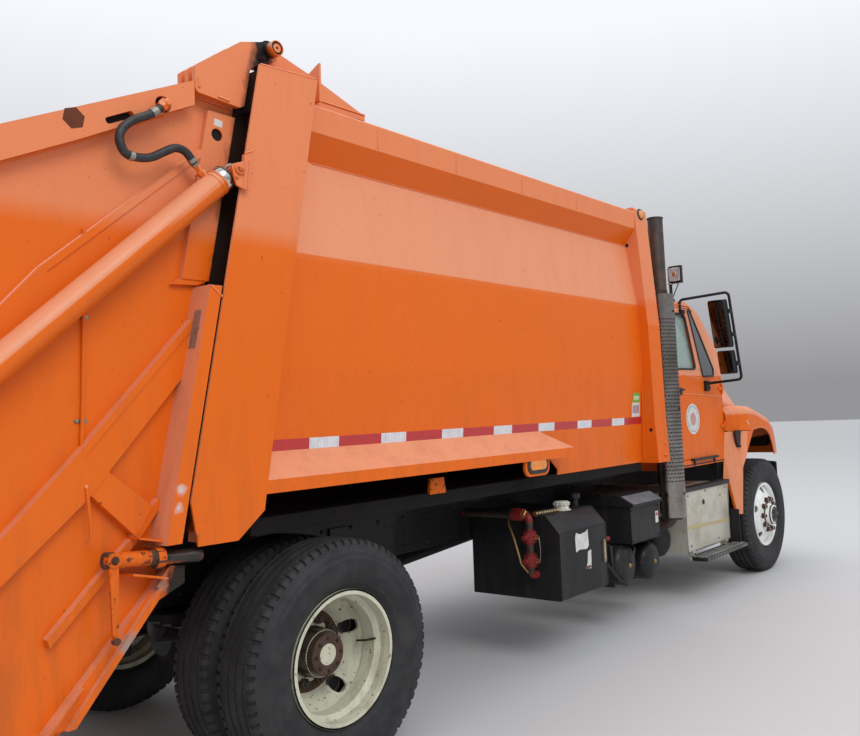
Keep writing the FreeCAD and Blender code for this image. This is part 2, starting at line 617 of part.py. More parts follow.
def hood():
    """The tilting hood: a tapering middle with a round-topped fender at each side."""
    sections = [(HOOD_REAR, 830, 1790, 990), (5400, 760, 1745, 880), (5900, 660, 1560, 760),
                (6060, 620, 1440, 700)]

    def skin(inset):
        wires = []
        for x, top_half, top, low_half in sections:
            x = x - inset if x > 6000 else x
            t = top_half - inset
            w = low_half - inset
            z = top - inset
            corners = [(-w, HOOD_LOW), (-w, z - 190, 80), (-t, z, 110), (t, z, 110), (w, z - 190, 80),
                       (w, HOOD_LOW)]
            wires.append(loop(corners, lambda p, x=x: V(x, p.x, p.y)))
        return Part.makeLoft(wires, True, True)

    well = side([(HOOD_REAR - 40, HOOD_SPLIT_Z), (5150, HOOD_SPLIT_Z, 60), (5400, 1345, 160),
                 (5600, 1270, 160),
                 (5770, 1090, 60), (5790, HOOD_LOW - 20), (HOOD_REAR - 40, HOOD_LOW - 20)], -1300, 1300)
    fender = fender_form(0).cut(fender_form(FENDER_SKIN)).cut(well).cut(skin(11))
    room = fender_form(FENDER_SKIN).common(block(HOOD_REAR - 10, FENDER[-1][0], 700, 1300, 900, 1700))
    middle = skin(0).cut(skin(12)).cut(well).cut(room).cut(mirror(room))
    middle = middle.cut(block(6020, 6100, -500, 500, 1110, 1380))
    px, pz = HOOD_PIVOT
    arm = side([(px - 28, pz - 28, 26), (px + 28, pz - 28, 26), (px + 28, pz + 40), (6058, 1100),
                (6030, 1100),
                (px - 28, pz + 30)], RAIL_OUT + 22, RAIL_OUT + 38)
    pin = cross_rod(px, pz, RAIL_OUT, RAIL_OUT + 38, 15)
    cowl = side([(4700, 1545), (HOOD_REAR, 1545), (4998, 1768, 40), (5006, 1900), (4700, 1900)], -1200,
                1200)
    save("hood", joined([middle.cut(cowl)] + both(fender.cut(cowl)) + both(arm) + both(pin)))
    bars = [block(6034, 6048, -510, 510, z, z + 16) for z in range(1120, 1380, 32)]
    stays = [block(6034, 6044, y - 8, y + 8, 1104, 1386) for y in (-505, -250, 0, 250, 505)]
    save("grille", joined(bars + stays))


# ---- Chassis side equipment ----
def step_box():
    """The aluminium box under the right door, with its ledge and the step below."""
    tread = plan([(3840, STEP_OUT), (3840, STEP_OUT + 140, 30), (4720, STEP_OUT + 140, 30),
                  (4720, STEP_OUT)], 320, 350)
    box = side([(3800, 380), (3800, 885), (4690, 885), (4676, 380)], 500, STEP_OUT)
    ledge = block(3790, 4700, STEP_OUT - 90, STEP_OUT + 10, 885, 897)
    arms = [block(x, x + 50, RAIL_OUT, 520, 780, 860) for x in (3880, 4480)]
    hung = [block(x, x + 40, STEP_OUT - 50, STEP_OUT + 10, 335, 390) for x in (3880, 4560)]
    save("step_box", mirror(joined([box, ledge, tread] + arms + hung)))


def fuel_tank():
    x0, x1, y, z, r = 3780, 4640, 800, 640, 255
    tank = rod(V(x0, y, z), V(x1, y, z), r)
    steps = [block(x0 + 120, x1 - 80, 1000, 1160, low, low + 26) for low in (z - 280, z + 120)]
    posts = [block(x, x + 30, 1000, 1060, z - 280, z + 146) for x in (x0 + 120, x1 - 110)]
    saddles = [block(x, x + 50, RAIL_OUT, 640, 700, 900) for x in (x0 + 120, x1 - 160)]
    save("fuel_tank", joined([tank] + steps + posts + saddles))


def battery_box():
    x0, x1, low, top = 2800, 3235, 605, 872
    case = block(x0, x1, 560, 1100, low, top)
    lid = across([(548, top), (548, top + 68), (1030, top + 68, 20), (1128, top + 12), (1128, top - 4),
                  (1101, top - 4),
                  (1101, top)], x0 - 12, x1 + 12)
    arms = [block(x, x + 50, RAIL_OUT, 570, low + 40, top) for x in (x0 + 70, x1 - 130)]
    save("battery_box", mirror(joined([case, lid] + arms)))


def hydraulic_tank():
    """The hydraulic oil tank, with a sloping shoulder, filler cap and breather."""
    x0, x1, out, low, top = 1800, 2357, 1150, 405, 930
    body = across([(RAIL_OUT + 14, low), (RAIL_OUT + 14, top), (out - 110, top, 30), (out, top - 107, 30),
                   (out, low, 20)], x0, x1)
    cap = rod(V(2076, 990, top - 2), V(2076, 990, top + 32), 42)
    breather = rod(V(2300, 950, top - 2), V(2300, 950, top + 52), 24)
    arms = [block(x, x + 60, RAIL_OUT, RAIL_OUT + 20, 780, 900) for x in (x0 + 50, x1 - 110)]
    save("hydraulic_tank", mirror(joined([body, cap, breather] + arms)))
    x = x0 - 60
    y = 965
    line = bent([V(x0, y, 560), V(x, y, 560), V(x, y, 935), V(x, RAIL_OUT, 935)], 24, 40)
    valves = [rod(V(x, y, z - 34), V(x, y, z + 34), 42) for z in (655, 800)]
    stems = [rod(V(x, y, z), V(x - 70, y, z), 16) for z in (655, 800)]
    union = cross_rod(x, 935, 850, 925, 38)
    save("hydraulic_valves", mirror(joined([line, union] + valves + stems)))


def air_tanks():
    pieces = []
    for x, z, r, y0, y1 in ((2827, 452, 146, 520, 1000), (3208, 420, 140, 520, 1000)):
        pieces.append(cross_rod(x, z, y0, y1, r))
        pieces.append(block(x - 20, x + 20, RAIL_OUT, RAIL_OUT + 30, 560, 900))
        pieces.append(block(x - 20, x + 20, RAIL_OUT, 555, z + r - 30, z + r + 10))
    save("air_tanks", mirror(joined(pieces)))


def exhaust():
    """The upright exhaust behind the cab, its slotted guard, and the muffler below."""
    x, y = STACK
    can = rod(V(x, y, 700), V(x, y, 2450), 82)
    tail = pipe(V(x, y, 2440), V(x, y, 3100), 62, 57)
    foot = bent([V(x, y, 800), V(x, y, 665), V(x, 520, 665)], 50, 90)
    stay = block(x - 50, x - 20, RAIL_OUT, y - 70, 900, 960)
    save("exhaust_stack", mirror(joined([can, tail, foot, stay])))
    guard = pipe(V(x, y, 720), V(x, y, 2470), GUARD_R, GUARD_R - 3)
    guard = guard.cut(plan([(x + 20, y - 200), (x - 200, y - 200), (x - 200, y + 20), (x, y)], 600, 2600))
    pads = [rod(V(x, y + 82, z), V(x, y + GUARD_R - 2, z), 14) for z in (860, 1550, 2300)]
    save("heat_shield", mirror(joined([guard] + pads)))


def equipment():
    step_box()
    fuel_tank()
    battery_box()
    hydraulic_tank()
    air_tanks()
    exhaust()


# ---- Refuse body ----
def seam_x(z):
    """Where the body's rear edge is at height z: the rear posts lean forward."""
    return POST_TOP_X - POST_LEAN * (POST_TOP_Z - z)


def post_front(z):
    """Where the rear post's front edge is at height z."""
    top = (POST_TOP_X + POST_WIDTH, POST_TOP_Z + 20)
    knee = (seam_x(POST_KNEE_Z) + POST_WIDTH + 25, POST_KNEE_Z)
    return top[0] + (z - top[1]) * (top[0] - knee[0]) / (top[1] - knee[1])


def refuse_body():
    x1 = BODY_FRONT_X - FRONT_POST
    outer = SIDE_PROFILE
    inner = [(y - SHEET, z) for y, z in reversed(SIDE_PROFILE)]
    wall = across(outer + inner, -700, x1)
    behind = side([(post_front(3300), 3300), (post_front(1000), 1000), (-2500, 1000), (-2500, 3300)], 500,
                  1300)
    below = side([(-900, 1000), (-900, 1290), (1850, 1290), (1960, 1205), (1960, 1000)], 900, 1300)
    wall = wall.cut(behind).cut(below)
    shelf_z = 1460
    shelf_half = 1075
    shelf = across([(shelf_half - 10, shelf_z), (POST_OUT - 6, 1340), (POST_OUT - 6, 1290),
                    (POST_OUT, 1290),
                    (POST_OUT, 1346), (shelf_half - 10, shelf_z + 7)], -420, 1960)
    trim = plan([(1690, 1050), (1960, POST_OUT + 5), (2100, POST_OUT + 5), (2100, 1050)], 1200, 1600)
    shelf = shelf.cut(trim).cut(behind)
    lamp_plate = plan([(1490, 1072), (1490, 1160, 12), (1700, 1160, 12), (1700, 1072)], 1322, 1330)
    hanger = across([(1075, 1322), (1160, 1322), (1160, 1200), (1150, 1200), (1140, 1300), (1085, 1316)],
                    1560, 1640)
    lamp = rod(V(1600, 1150, 1262), V(1600, 1182, 1262), 42)
    brace = [across([(1055, 1292), (1066, 1450), (1180, 1342), (1180, 1300)], x, x + 10)
             for x in (-300, 500, 1200, 1545)]
    sides = joined([wall, shelf, lamp_plate, hanger, lamp] + brace)
    save("body_side_left", sides)
    save("body_side_right", mirror(sides))
    rail = [(SIDE_PROFILE[3][0], 2830), (RAIL_SIDE_Y, 2950), (RAIL_SIDE_Y + 5, RAIL_HIGH, 12),
            (960, RAIL_HIGH, 12), (960, 2840)]
    bar = across(rail, seam_x(3000) + 300, x1)
    rails = both(bar.cut(behind))
    roof = across([(-960, 3060), (0, 3092), (960, 3060), (960, 3068), (0, 3100), (-960, 3068)], -160, x1)
    bows = []
    for k in range(6):
        x = 250 + 480 * k
        bows.append(across([(-958, 3030), (958, 3030), (958, 3061), (0, 3093), (-958, 3061)], x, x + 60))
    front_frame(x1)
    frame = rear_frame()
    save("body_roof", [joined([roof.cut(frame)] + bows)] + rails)
    body_floor(x1, frame)
    ejector()


def front_frame(x1):
    post = [(1000, 1165), (1200, 1165), (1185, 1500), (1175, 2200), (1120, 3000), (1112, 3120, 20),
            (940, 3120), (940, 2900), (1000, 2800)]
    posts = both(across(post, x1, BODY_FRONT_X))
    header = block(x1, BODY_FRONT_X, -940, 940, 2950, 3120)
    sheet = block(BODY_FRONT_X - 20, BODY_FRONT_X - 10, -1000, 1000, 1165, 2950)
    ribs = [block(BODY_FRONT_X - 10, BODY_FRONT_X, -1000, 1000, z, z + 90) for z in (1500, 2000, 2500)]
    uprights = [block(BODY_FRONT_X - 10, BODY_FRONT_X, y - 45, y + 45, 1165, 2950) for y in (-500, 0, 500)]
    frame = joined(posts + [header, sheet] + ribs + uprights)
    save("body_front_frame", frame)


def post_outline(rear, foot):
    """The rear post's side face: rear says how far its rear edge stands forward of the seam."""
    z1 = POST_TOP_Z
    knee = POST_KNEE_Z
    low = seam_x(knee)
    front = low + POST_WIDTH
    return [(POST_TOP_X + rear, z1 - 5), (POST_TOP_X + POST_WIDTH, z1 + 20), (front + 25, knee),
            (front + 15, 1226),
            (front - 115, 1120), (low + 30 + foot, POST_FOOT_Z), (low + rear, knee)]


def rear_frame():
    z1 = POST_TOP_Z
    outer = side(post_outline(0, 0), POST_OUT - FLANGE_THICK, POST_OUT)
    core = side(post_outline(EYE_RECESS, EYE_RECESS * 0.6), POST_IN, POST_OUT - FLANGE_THICK)
    inner = side([(POST_TOP_X + 10, z1 - 5), (POST_TOP_X + POST_WIDTH, z1 + 15),
                  (seam_x(POST_KNEE_Z) + POST_WIDTH - 25, BODY_FLOOR_Z),
                  (seam_x(BODY_FLOOR_Z) + 10, BODY_FLOOR_Z)], POST_IN, POST_IN + POST_LIP)
    closer = side([(seam_x(z1) + 25, z1 - 8), (seam_x(z1) + 180, z1), (seam_x(2950) + 150, 2950),
                   (seam_x(2950) + 25, 2950)],
                  POST_IN, POST_OUT - FLANGE_THICK)
    x = HINGE[0]
    lug = side([(x - 10, 3090), (x + 330, 3090), (x + 626, 3100), (x + 626, 3124), (x + 296, 3230),
                (x + 40, 3296), (x - 30, 3296)],
               LUG_Y, LUG_Y + LUG_THICK)
    eye = cross_rod(x, HINGE[1], LUG_Y, LUG_Y + LUG_THICK, 52)
    lug = lug.fuse(eye).cut(cross_rod(x, HINGE[1], 900, 1300, HINGE_PIN_R + FIT))
    upright = across([(1000, 3100), (1130, 3100), (1130, 3290), (1000, 3230)], x + 290, x + 302)
    post = joined([outer, core, inner, closer, lug, upright] + eye_bracket())
    header_x = POST_TOP_X + 20
    header = side([(header_x, 2960), (header_x - 10, 2960), (header_x + 22, z1 - 10), (-104, z1 + 8),
                   (-140, 2960)], -POST_IN, POST_IN)
    frame = joined(both(post) + [header])
    save("body_rear_frame", frame)
    return frame


def eye_bracket():
    """The lift rod's bracket on the post: a plate over a packing strip, an arm inside, a pin on each."""
    ex, ez = LIFT_EYE
    face = CYL_Y + TUBE_R + CLEAR
    strip = side([(-520, 2718), (-478, 2738), (-506, 2574), (-531, 2564)], POST_OUT - 1, face)
    plate = side([(-594, 2657, 8), (-524, 2686), (-500, 2696), (-512, 2562), (-534, 2562),
                  (-567, 2573, 8)], face, face + 10)
    arm_y = CYL_Y - 48
    arm = side([(ex - 2, ez + 32), (ex + 170, ez + 60), (ex + 170, ez - 60), (ex - 2, ez - 32)], arm_y,
               arm_y + 12)
    arm = arm.fuse(cross_rod(ex, ez, arm_y, arm_y + 12, 32))
    pins = [cross_rod(ex, ez, arm_y - 4, CYL_Y - ROD_R - 2, LIFT_PIN_R),
            cross_rod(ex, ez, CYL_Y + ROD_R + 2, face + 20, LIFT_PIN_R)]
    return [strip, plate, arm] + pins


def body_floor(x1, frame):
    deck_top = BODY_FLOOR_Z + 10
    deck = block(beside_track(BLADE_R + 2 * CLEAR, deck_top), x1, -1042, 1042, BODY_FLOOR_Z, deck_top)
    sills = both(block(FRAME_REAR, BODY_FRONT_X, RAIL_OUT - 80, RAIL_OUT, RAIL_TOP, BODY_FLOOR_Z - 60))
    bearers = []
    for k in range(9):
        x = -560 + 450 * k
        bearers.append(block(x, x + 70, -1040, 1040, BODY_FLOOR_Z - 60, BODY_FLOOR_Z))
    edge = both(block(seam_x(BODY_FLOOR_Z) + 400, x1, 1000, 1042, BODY_FLOOR_Z - 60, BODY_FLOOR_Z))
    save("body_floor", joined([deck] + sills + bearers + edge).cut(frame))


def ejector():
    low = BODY_FLOOR_Z + 10 + FIT
    face = side([(2850, low + 10), (2850, 1700, 200), (3010, 2820), (3050, 2820), (2895, 1700, 200),
                 (2895, low + 10)], -990, 990)
    legs = [block(2860, 3180, y - 30, y + 30, low, low + 80) for y in (-700, 0, 700)]
    braces = [side([(2880, low + 70), (3180, low + 70), (2990, 2400)], y - 15, y + 15) for y in (-700, 0,
                                                                                                 700)]
    save("ejector_panel", joined([face] + legs + braces))


# ---- Tailgate ----
# The lift hose's route in the cylinder's plane, from the beam's elbow to the barrel's port.
HOSE = [(-866, 2842), (-900, 2806), (-985, 2764), (-1042, 2698), (-1020, 2622), (-960, 2618), (-905, 2630),
        (-850, 2668), (-800, 2698), (-757, 2690)]
HOSE_R = 17.0
HOSE_PORT = (-841.0, 2868.0)
PORT_BACK = 119.0
PORT_HIGH = 115.0
PUSH_Y = 700.0
PUSH_N = 125.0
PUSH_ROD_R = 30.0
SWEEP_Y = 500.0
SWEEP_BASE = (640.0, 95.0)
CRANK = 200.0
CRANK_LEAD = 149.0
SLEEVE_R = 48.0
SLEEVE_PIN_R = 28.0
U = V(math.cos(math.radians(THROAT_ANGLE)), 0, math.sin(math.radians(THROAT_ANGLE)))
N = V(-U.z, 0, U.x)
PIVOT = V(HOPPER_AXIS[0], 0, HOPPER_AXIS[1]) + U * PACK_STROKE


def on_track(s, n, y=0.0):
    """A point s along the packer's track from the blade's pivot, n behind the track."""
    return PIVOT + U * s + N * n + V(0, y, 0)


def beside_track(r, z):
    """Where the line along the track at distance r in front of the hopper's axis is at height z."""
    return HOPPER_AXIS[0] + (r + (z - HOPPER_AXIS[1]) * U.x) / U.z


def track_bar(s0, s1, n0, n1, y0, y1):
    pts = [on_track(s, n) for s, n in ((s0, n0), (s1, n0), (s1, n1), (s0, n1))]
    return side([(p.x, p.z) for p in pts], y0, y1)


def beam_z(x):
    return BEAM_START[1] - BEAM_SLOPE * (BEAM_START[0] - x)


def hopper_point(angle, r):
    """A point at radius r on the hopper's round, angle in degrees behind its lowest point."""
    a = math.radians(angle)
    return (HOPPER_AXIS[0] - r * math.sin(a), HOPPER_AXIS[1] - r * math.cos(a))


def gate_front(z):
    """Where the tailgate's front edge is at height z: a seam's width behind the rear post."""
    return seam_x(z) - SEAM


def gate_plate():
    """The tailgate's side plate: hopper's round, throat, seam, roof line and the open rear."""
    y0 = GATE_OUT - GATE_PLATE
    t0 = hopper_point(-(90 - THROAT_ANGLE), EDGE_R)
    t1 = hopper_point(SILL_ANGLE, EDGE_R)
    mid = hopper_point(15, EDGE_R)
    upper = [(gate_front(GATE_TOP), GATE_TOP), (BEAM_START[0] + 60, GATE_TOP - 50)]
    upper += [(GATE_REAR_X, beam_z(GATE_REAR_X)), (-2130, 2200), (-1960, 2080), (-1840, 1700),
              (-1930, 1330)]
    upper += [(t1[0] + 25, 1010), (t1[0], 960), t1]
    pts = [V(x, y0, z) for x, z in upper]
    edges = [Part.makeLine(a, b) for a, b in zip(pts, pts[1:])]
    edges.append(Part.Arc(pts[-1], V(mid[0], y0, mid[1]), V(t0[0], y0, t0[1])).toShape())
    tail = [V(t0[0], y0, t0[1]), V(throat_x(THROAT_LOW), y0, THROAT_LOW),
            V(gate_front(GATE_KNEE), y0, GATE_KNEE), pts[0]]
    edges += [Part.makeLine(a, b) for a, b in zip(tail, tail[1:])]
    return Part.Face(Part.Wire(edges)).extrude(V(0, GATE_PLATE, 0))


def throat_x(z):
    """Where the throat's outer edge is at height z."""
    x, low = hopper_point(-(90 - THROAT_ANGLE), EDGE_R)
    return x + (z - low) / math.tan(math.radians(THROAT_ANGLE))


def channel(corners, y0, y1, open_side=None):
    """A pressed channel welded on the side plate: an outline, with one lip along its upper side."""
    shape = side(corners, y0, y1)
    if open_side is None:
        return shape
    (ax, az), (bx, bz), down = open_side
    run = V(bx - ax, 0, bz - az)
    run.normalize()
    drop = V(run.z, 0, -run.x) * down
    lip = [V(ax, 0, az) + drop * RIB_LIP, V(bx, 0, bz) + drop * RIB_LIP]
    far = [p + drop * 600 for p in reversed(lip)]
    step = side([(p.x, p.z) for p in lip + far], y1 - RIB_STEP, y1 + 1)
    return shape.cut(step)


def gate_side():
    """The tailgate's side plate, and what is welded on its outside."""
    out = GATE_OUT
    y0 = GATE_OUT - GATE_PLATE
    columns = gate_columns(out)
    ribs = [
        channel([(-631, 2751), (-700, 2500), (-1150, 2068), (-1290, 2168)], out, out + 26,
                ((-631, 2751), (-1290, 2168), -1)),
        side([(-1290, 2168), (-1150, 2068), (-1640, 1400), (-1830, 1560), (-1700, 1690)], out, out + 26),
        channel([(-705, 2015), (-1156, 1511), (-1500, 1150), (-1500, 1010), (-1123, 1343), (-748, 1778)],
                out, out + 44,
                ((-705, 2015), (-1156, 1511), -1)),
        side([(-1047, 1430), (-874, 1286), (-944, 1184), (-1118, 1356)], out, out + 40),
        side([(-850, 1315), (-829, 1298), (-928, 1170), (-1250, 850), (-1260, 880), (-945, 1196)], out,
             out + 34),
    ]
    shelves = [side([(-963, 1186), (-836, 1156), (-836, 1148), (-963, 1178)], out, out + 100),
               side([(-989, 1060), (-850, 1024), (-850, 1016), (-989, 1052)], out, out + 100),
               side([(-829, 1290), (-829, 1150), (-836, 1150), (-836, 1290)], out, out + 90)]
    pieces = [gate_plate(), gate_beam(out), lift_foot(out), throat_flange(out)] + columns + ribs + shelves
    track = [track_bar(-780, 800, n0, n0 + 24, y0 - 42, y0) for n0 in (-72, 48)]
    return joined(pieces + hose_elbow(out) + track)


def gate_columns(out):
    """The upper and lower columns beside the seam, both folded from plate."""
    top = GATE_TOP - 145
    low = 2180
    upper = side([(gate_front(top), top), (gate_front(low), low), (gate_front(low) - 122, low),
                  (gate_front(top) - 133, top)],
                 out, out + UPPER_COLUMN)
    flare = side([(gate_front(low), low + 2), (gate_front(low) - 122, low + 2),
                  (gate_front(low) - 165, low - 26),
                  (gate_front(low) - 50, low - 20)], out, out + UPPER_COLUMN - 5)
    hollow = side([(gate_front(top) - 12, top + 1), (gate_front(low) - 12, low - 40),
                   (gate_front(low) - 112, low - 40),
                   (gate_front(top) - 121, top + 1)], out - 1, out + UPPER_COLUMN - 8)
    hole = cross_rod(-571, 2817, out - 2, out + UPPER_COLUMN + 2, 27)
    upper = upper.fuse(flare).cut(hollow).cut(hole)
    high = 2150
    face = gate_front(high) - 54
    foot = GATE_KNEE + 16
    lower = side([(gate_front(high), high), (gate_front(foot), foot), (gate_front(foot) - 63, foot),
                  (face, high)], out, POST_OUT)
    root = 24
    trim = plan([(face - 300, out + 10), (face - root - 4, out + 10), (face, POST_OUT),
                 (face - 300, POST_OUT)], high - 2, high)
    cap = across([(out - 5, high + 45), (POST_OUT + 5, high - 5), (POST_OUT + 5, high + 100),
                  (out - 5, high + 100)], -1200, 0)
    return [upper, lower.cut(cap).cut(trim)]


def gate_beam(out):
    """The box beam along the tailgate's top edge, with its slot and the hose's hole."""
    x = BEAM_START[0] + 60
    outline = [(x, beam_z(x)), (x, 2905), (-790, 2857), (-1183, 2643), (GATE_REAR_X, 2190), (-2130, 2200),
               (GATE_REAR_X, beam_z(GATE_REAR_X))]
    beam = side(outline, out, out + BEAM_PROUD)
    slot = [(-1020 + u * 0.886 - v * 0.464, 2769 + u * 0.464 + v * 0.886, 12) for u,
            v in ((-62, -13), (62, -13), (62, 13), (-62, 13))]
    slot = side(slot, out - 6, out + BEAM_PROUD + 2)
    port = cross_rod(HOSE_PORT[0], HOSE_PORT[1], out - 6, out + BEAM_PROUD + 2, 34)
    return beam.cut(slot).cut(port)


def lift_foot(out):
    """The lift cylinder's lower bracket and its pin."""
    lx, lz = LIFT_BASE
    base = side([(lx - 90, lz - 130, 20), (lx + 130, lz - 60, 20), (lx + 60, lz + 110, 20),
                 (lx - 70, lz + 90, 20)], out, out + 28)
    pin = cross_rod(lx, lz, out + 20, CYL_Y + 38, LIFT_PIN_R)
    cap = cross_rod(lx, lz, CYL_Y + 38, CYL_Y + 46, LIFT_PIN_R + 12)
    return joined([base, pin, cap])


def hose_elbow(out):
    """The steel elbow that comes out of the beam's hole, and its sleeve on the hose's end."""
    px, pz = HOSE_PORT
    start, ahead = V(HOSE[0][0], CYL_Y, HOSE[0][1]), V(HOSE[1][0], CYL_Y, HOSE[1][1])
    back = (start - ahead) * (1 / (start - ahead).Length)
    return [cross_rod(px, pz, out - 8, CYL_Y + 8, 15), rod(V(px, CYL_Y, pz), start + back * 2, 14),
            rod(start + back * 20, start + back * FIT, HOSE_R + 2)]


def throat_flange(out):
    """The channel along the throat's edge, with a rounded end below the lower column."""
    z0 = hopper_point(-(90 - THROAT_ANGLE), EDGE_R)[1]
    wide = 95
    outer = side([(throat_x(z0), z0), (throat_x(940), 940), (-759, 985, 10), (-759, 1046, 10),
                  (-822, 1056, 10), (-872, 989),
                  (throat_x(z0) - wide, z0)], out, out + 62)
    groove = side([(throat_x(z0) - 34, z0 - 5), (throat_x(985) - 34, 985), (throat_x(985) - wide + 12, 985),
                   (throat_x(z0) - wide + 12, z0 - 5)], out + 40, out + 63)
    return outer.cut(groove)


def hinge_ears():
    x, z = HINGE
    ear = [(x - 10, z + 44, 20), (-378, 3280, 30), (-479, 3247, 20), (-701, 3072, 12), (-699, 2962, 20),
           (-484, 2949, 12), (-462, 2962, 10),
           (-429, 3138, 30), (-380, 3176, 20), (x + 10, z - 44, 20)]
    cheeks = ((1000, 1022), (EAR_OUT - 25, EAR_OUT))
    plates = [side(ear, y0, y1) for y0, y1 in cheeks]
    plates += [cross_rod(x, z, y0, y1, 50) for y0, y1 in cheeks]
    inner = [(-490, 3215, 15), (-678, 3060, 12), (-676, 2975, 12), (-492, 2964, 12)]
    fill = side(inner, 1000, EAR_OUT)
    middle = side([(-484, 3240), (-701, 3072, 12), (-699, 2962, 20), (-484, 2949)], 1052, 1074)
    pin = cross_rod(x, z, 1000, EAR_OUT + 56, HINGE_PIN_R)
    return joined(plates + [fill, middle, pin])


def tailgate():
    wing = joined([gate_side(), hinge_ears()])
    save("tailgate_side_left", wing)
    save("tailgate_side_right", mirror(wing))
    w = GATE_OUT - GATE_PLATE
    x0 = seam_x(3060) - SEAM
    rear = GATE_REAR_X
    roof = side([(x0, 3060), (BEAM_START[0] + 60, 3010), (rear, beam_z(rear)), (-2130, 2200),
                 (-2108, 2190), (-2030, 2310, 40),
                 (BEAM_START[0] + 56, 2990), (x0, 3045)], -w, w)
    lip = side([(-2130, 2200), (-2108, 2190), (-2040, 2130), (-2050, 2118), (-2128, 2176)], -w, w)
    cross = track_bar(905, 965, 60, 190, -w, w)
    barrels = []
    for y in (PUSH_Y, -PUSH_Y):
        tube = rod(on_track(150, PUSH_N, y), on_track(906, PUSH_N, y), 50)
        tube = tube.cut(rod(on_track(180, PUSH_N, y), on_track(892, PUSH_N, y), 40))
        barrels.append(tube.cut(rod(on_track(140, PUSH_N, y), on_track(190, PUSH_N, y), PUSH_ROD_R + FIT)))
    save("tailgate_hood", joined([roof, lip, cross] + barrels).cut(wing).cut(mirror(wing)))
    hopper(w)
    locks()
    packer()
    lift_cylinders()


def hopper(w):
    """The hopper's sheet: down the throat, round the sweep's arc and up to the loading sill."""
    r = HOPPER_R
    t = 10.0
    p0 = V(*hopper_point(-THROAT_ANGLE, r), 0)
    q0 = V(*hopper_point(-THROAT_ANGLE, r + t), 0)
    throat_top = BODY_FLOOR_Z - 60
    p_top = V(beside_track(r, throat_top), throat_top, 0)
    q_top = V(beside_track(r + t, throat_top), throat_top, 0)
    p1 = V(*hopper_point(SILL_ANGLE, r), 0)
    q1 = V(*hopper_point(SILL_ANGLE, r + t), 0)
    pm = V(*hopper_point(15, r), 0)
    qm = V(*hopper_point(15, r + t), 0)
    place = lambda p: V(p.x, -w, p.y)
    edges = [Part.makeLine(place(p_top), place(p0)), Part.Arc(place(p0), place(pm), place(p1)).toShape(),
             Part.makeLine(place(p1), place(q1)), Part.Arc(place(q1), place(qm), place(q0)).toShape(),
             Part.makeLine(place(q0), place(q_top)), Part.makeLine(place(q_top), place(p_top))]
    sheet = Part.Face(Part.Wire(edges)).extrude(V(0, 2 * w, 0))
    sill = side([(p1.x, p1.y - 4), (p1.x, 960), (TAIL_X, 960, 12), (TAIL_X, 830, 12), (p1.x - 20, 830)],
                -w, w)
    ribs = []
    for y in (-700.0, 0.0, 700.0):
        outer = [V(*hopper_point(a, EDGE_R - 2), 0) for a in (-THROAT_ANGLE, 15, SILL_ANGLE)]
        inner = [V(*hopper_point(a, r + t - 1), 0) for a in (SILL_ANGLE, 15, -THROAT_ANGLE)]
        at = lambda p: V(p.x, y - 8, p.y)
        wire = Part.Wire([Part.Arc(at(outer[0]), at(outer[1]), at(outer[2])).toShape(),
                          Part.makeLine(at(outer[2]), at(inner[0])),
                          Part.Arc(at(inner[0]), at(inner[1]),
                                   at(inner[2])).toShape(), Part.makeLine(at(inner[2]), at(outer[0]))])
        ribs.append(Part.Face(wire).extrude(V(0, 16, 0)))
    save("hopper_floor", joined([sheet, sill] + ribs))


def locks():
    """The tailgate's lock: a hand-turned tube with a greased screw that reaches the rear post."""
    z = 1105.0
    y = 1136.0
    tube = rod(V(-1082, y, z + 14), V(-880, y, z - 4), 28).cut(rod(V(-1090, y, z + 14),
                                                                   V(-1040, y, z + 10), 20))
    collar = rod(V(-893, y, z - 6), V(-862, y, z - 6), 38)
    screw = rod(V(-890, y, z - 12), V(-700, y, z - 22), 22)
    lever = side([(-1078, z - 6, 8), (-1044, z - 6, 8), (-1043, 833, 8), (-1064, 833, 8)], y + 14, y + 26)
    boss = cross_rod(-1061, z + 14, y, y + 32, 26)
    lug = block(-888, -870, GATE_OUT, y, z - 40, z + 24)
    save("tailgate_locks", both(joined([tube, collar, screw, lever, boss, lug])))


def crank_point(c):
    """The pin on the blade's crank, c from its pivot, set back from the line to the cylinder's base."""
    a = math.radians(THROAT_ANGLE + CRANK_LEAD) + math.atan2(SWEEP_BASE[1], SWEEP_BASE[0])
    return PIVOT + V(c * math.cos(a), 0, c * math.sin(a))


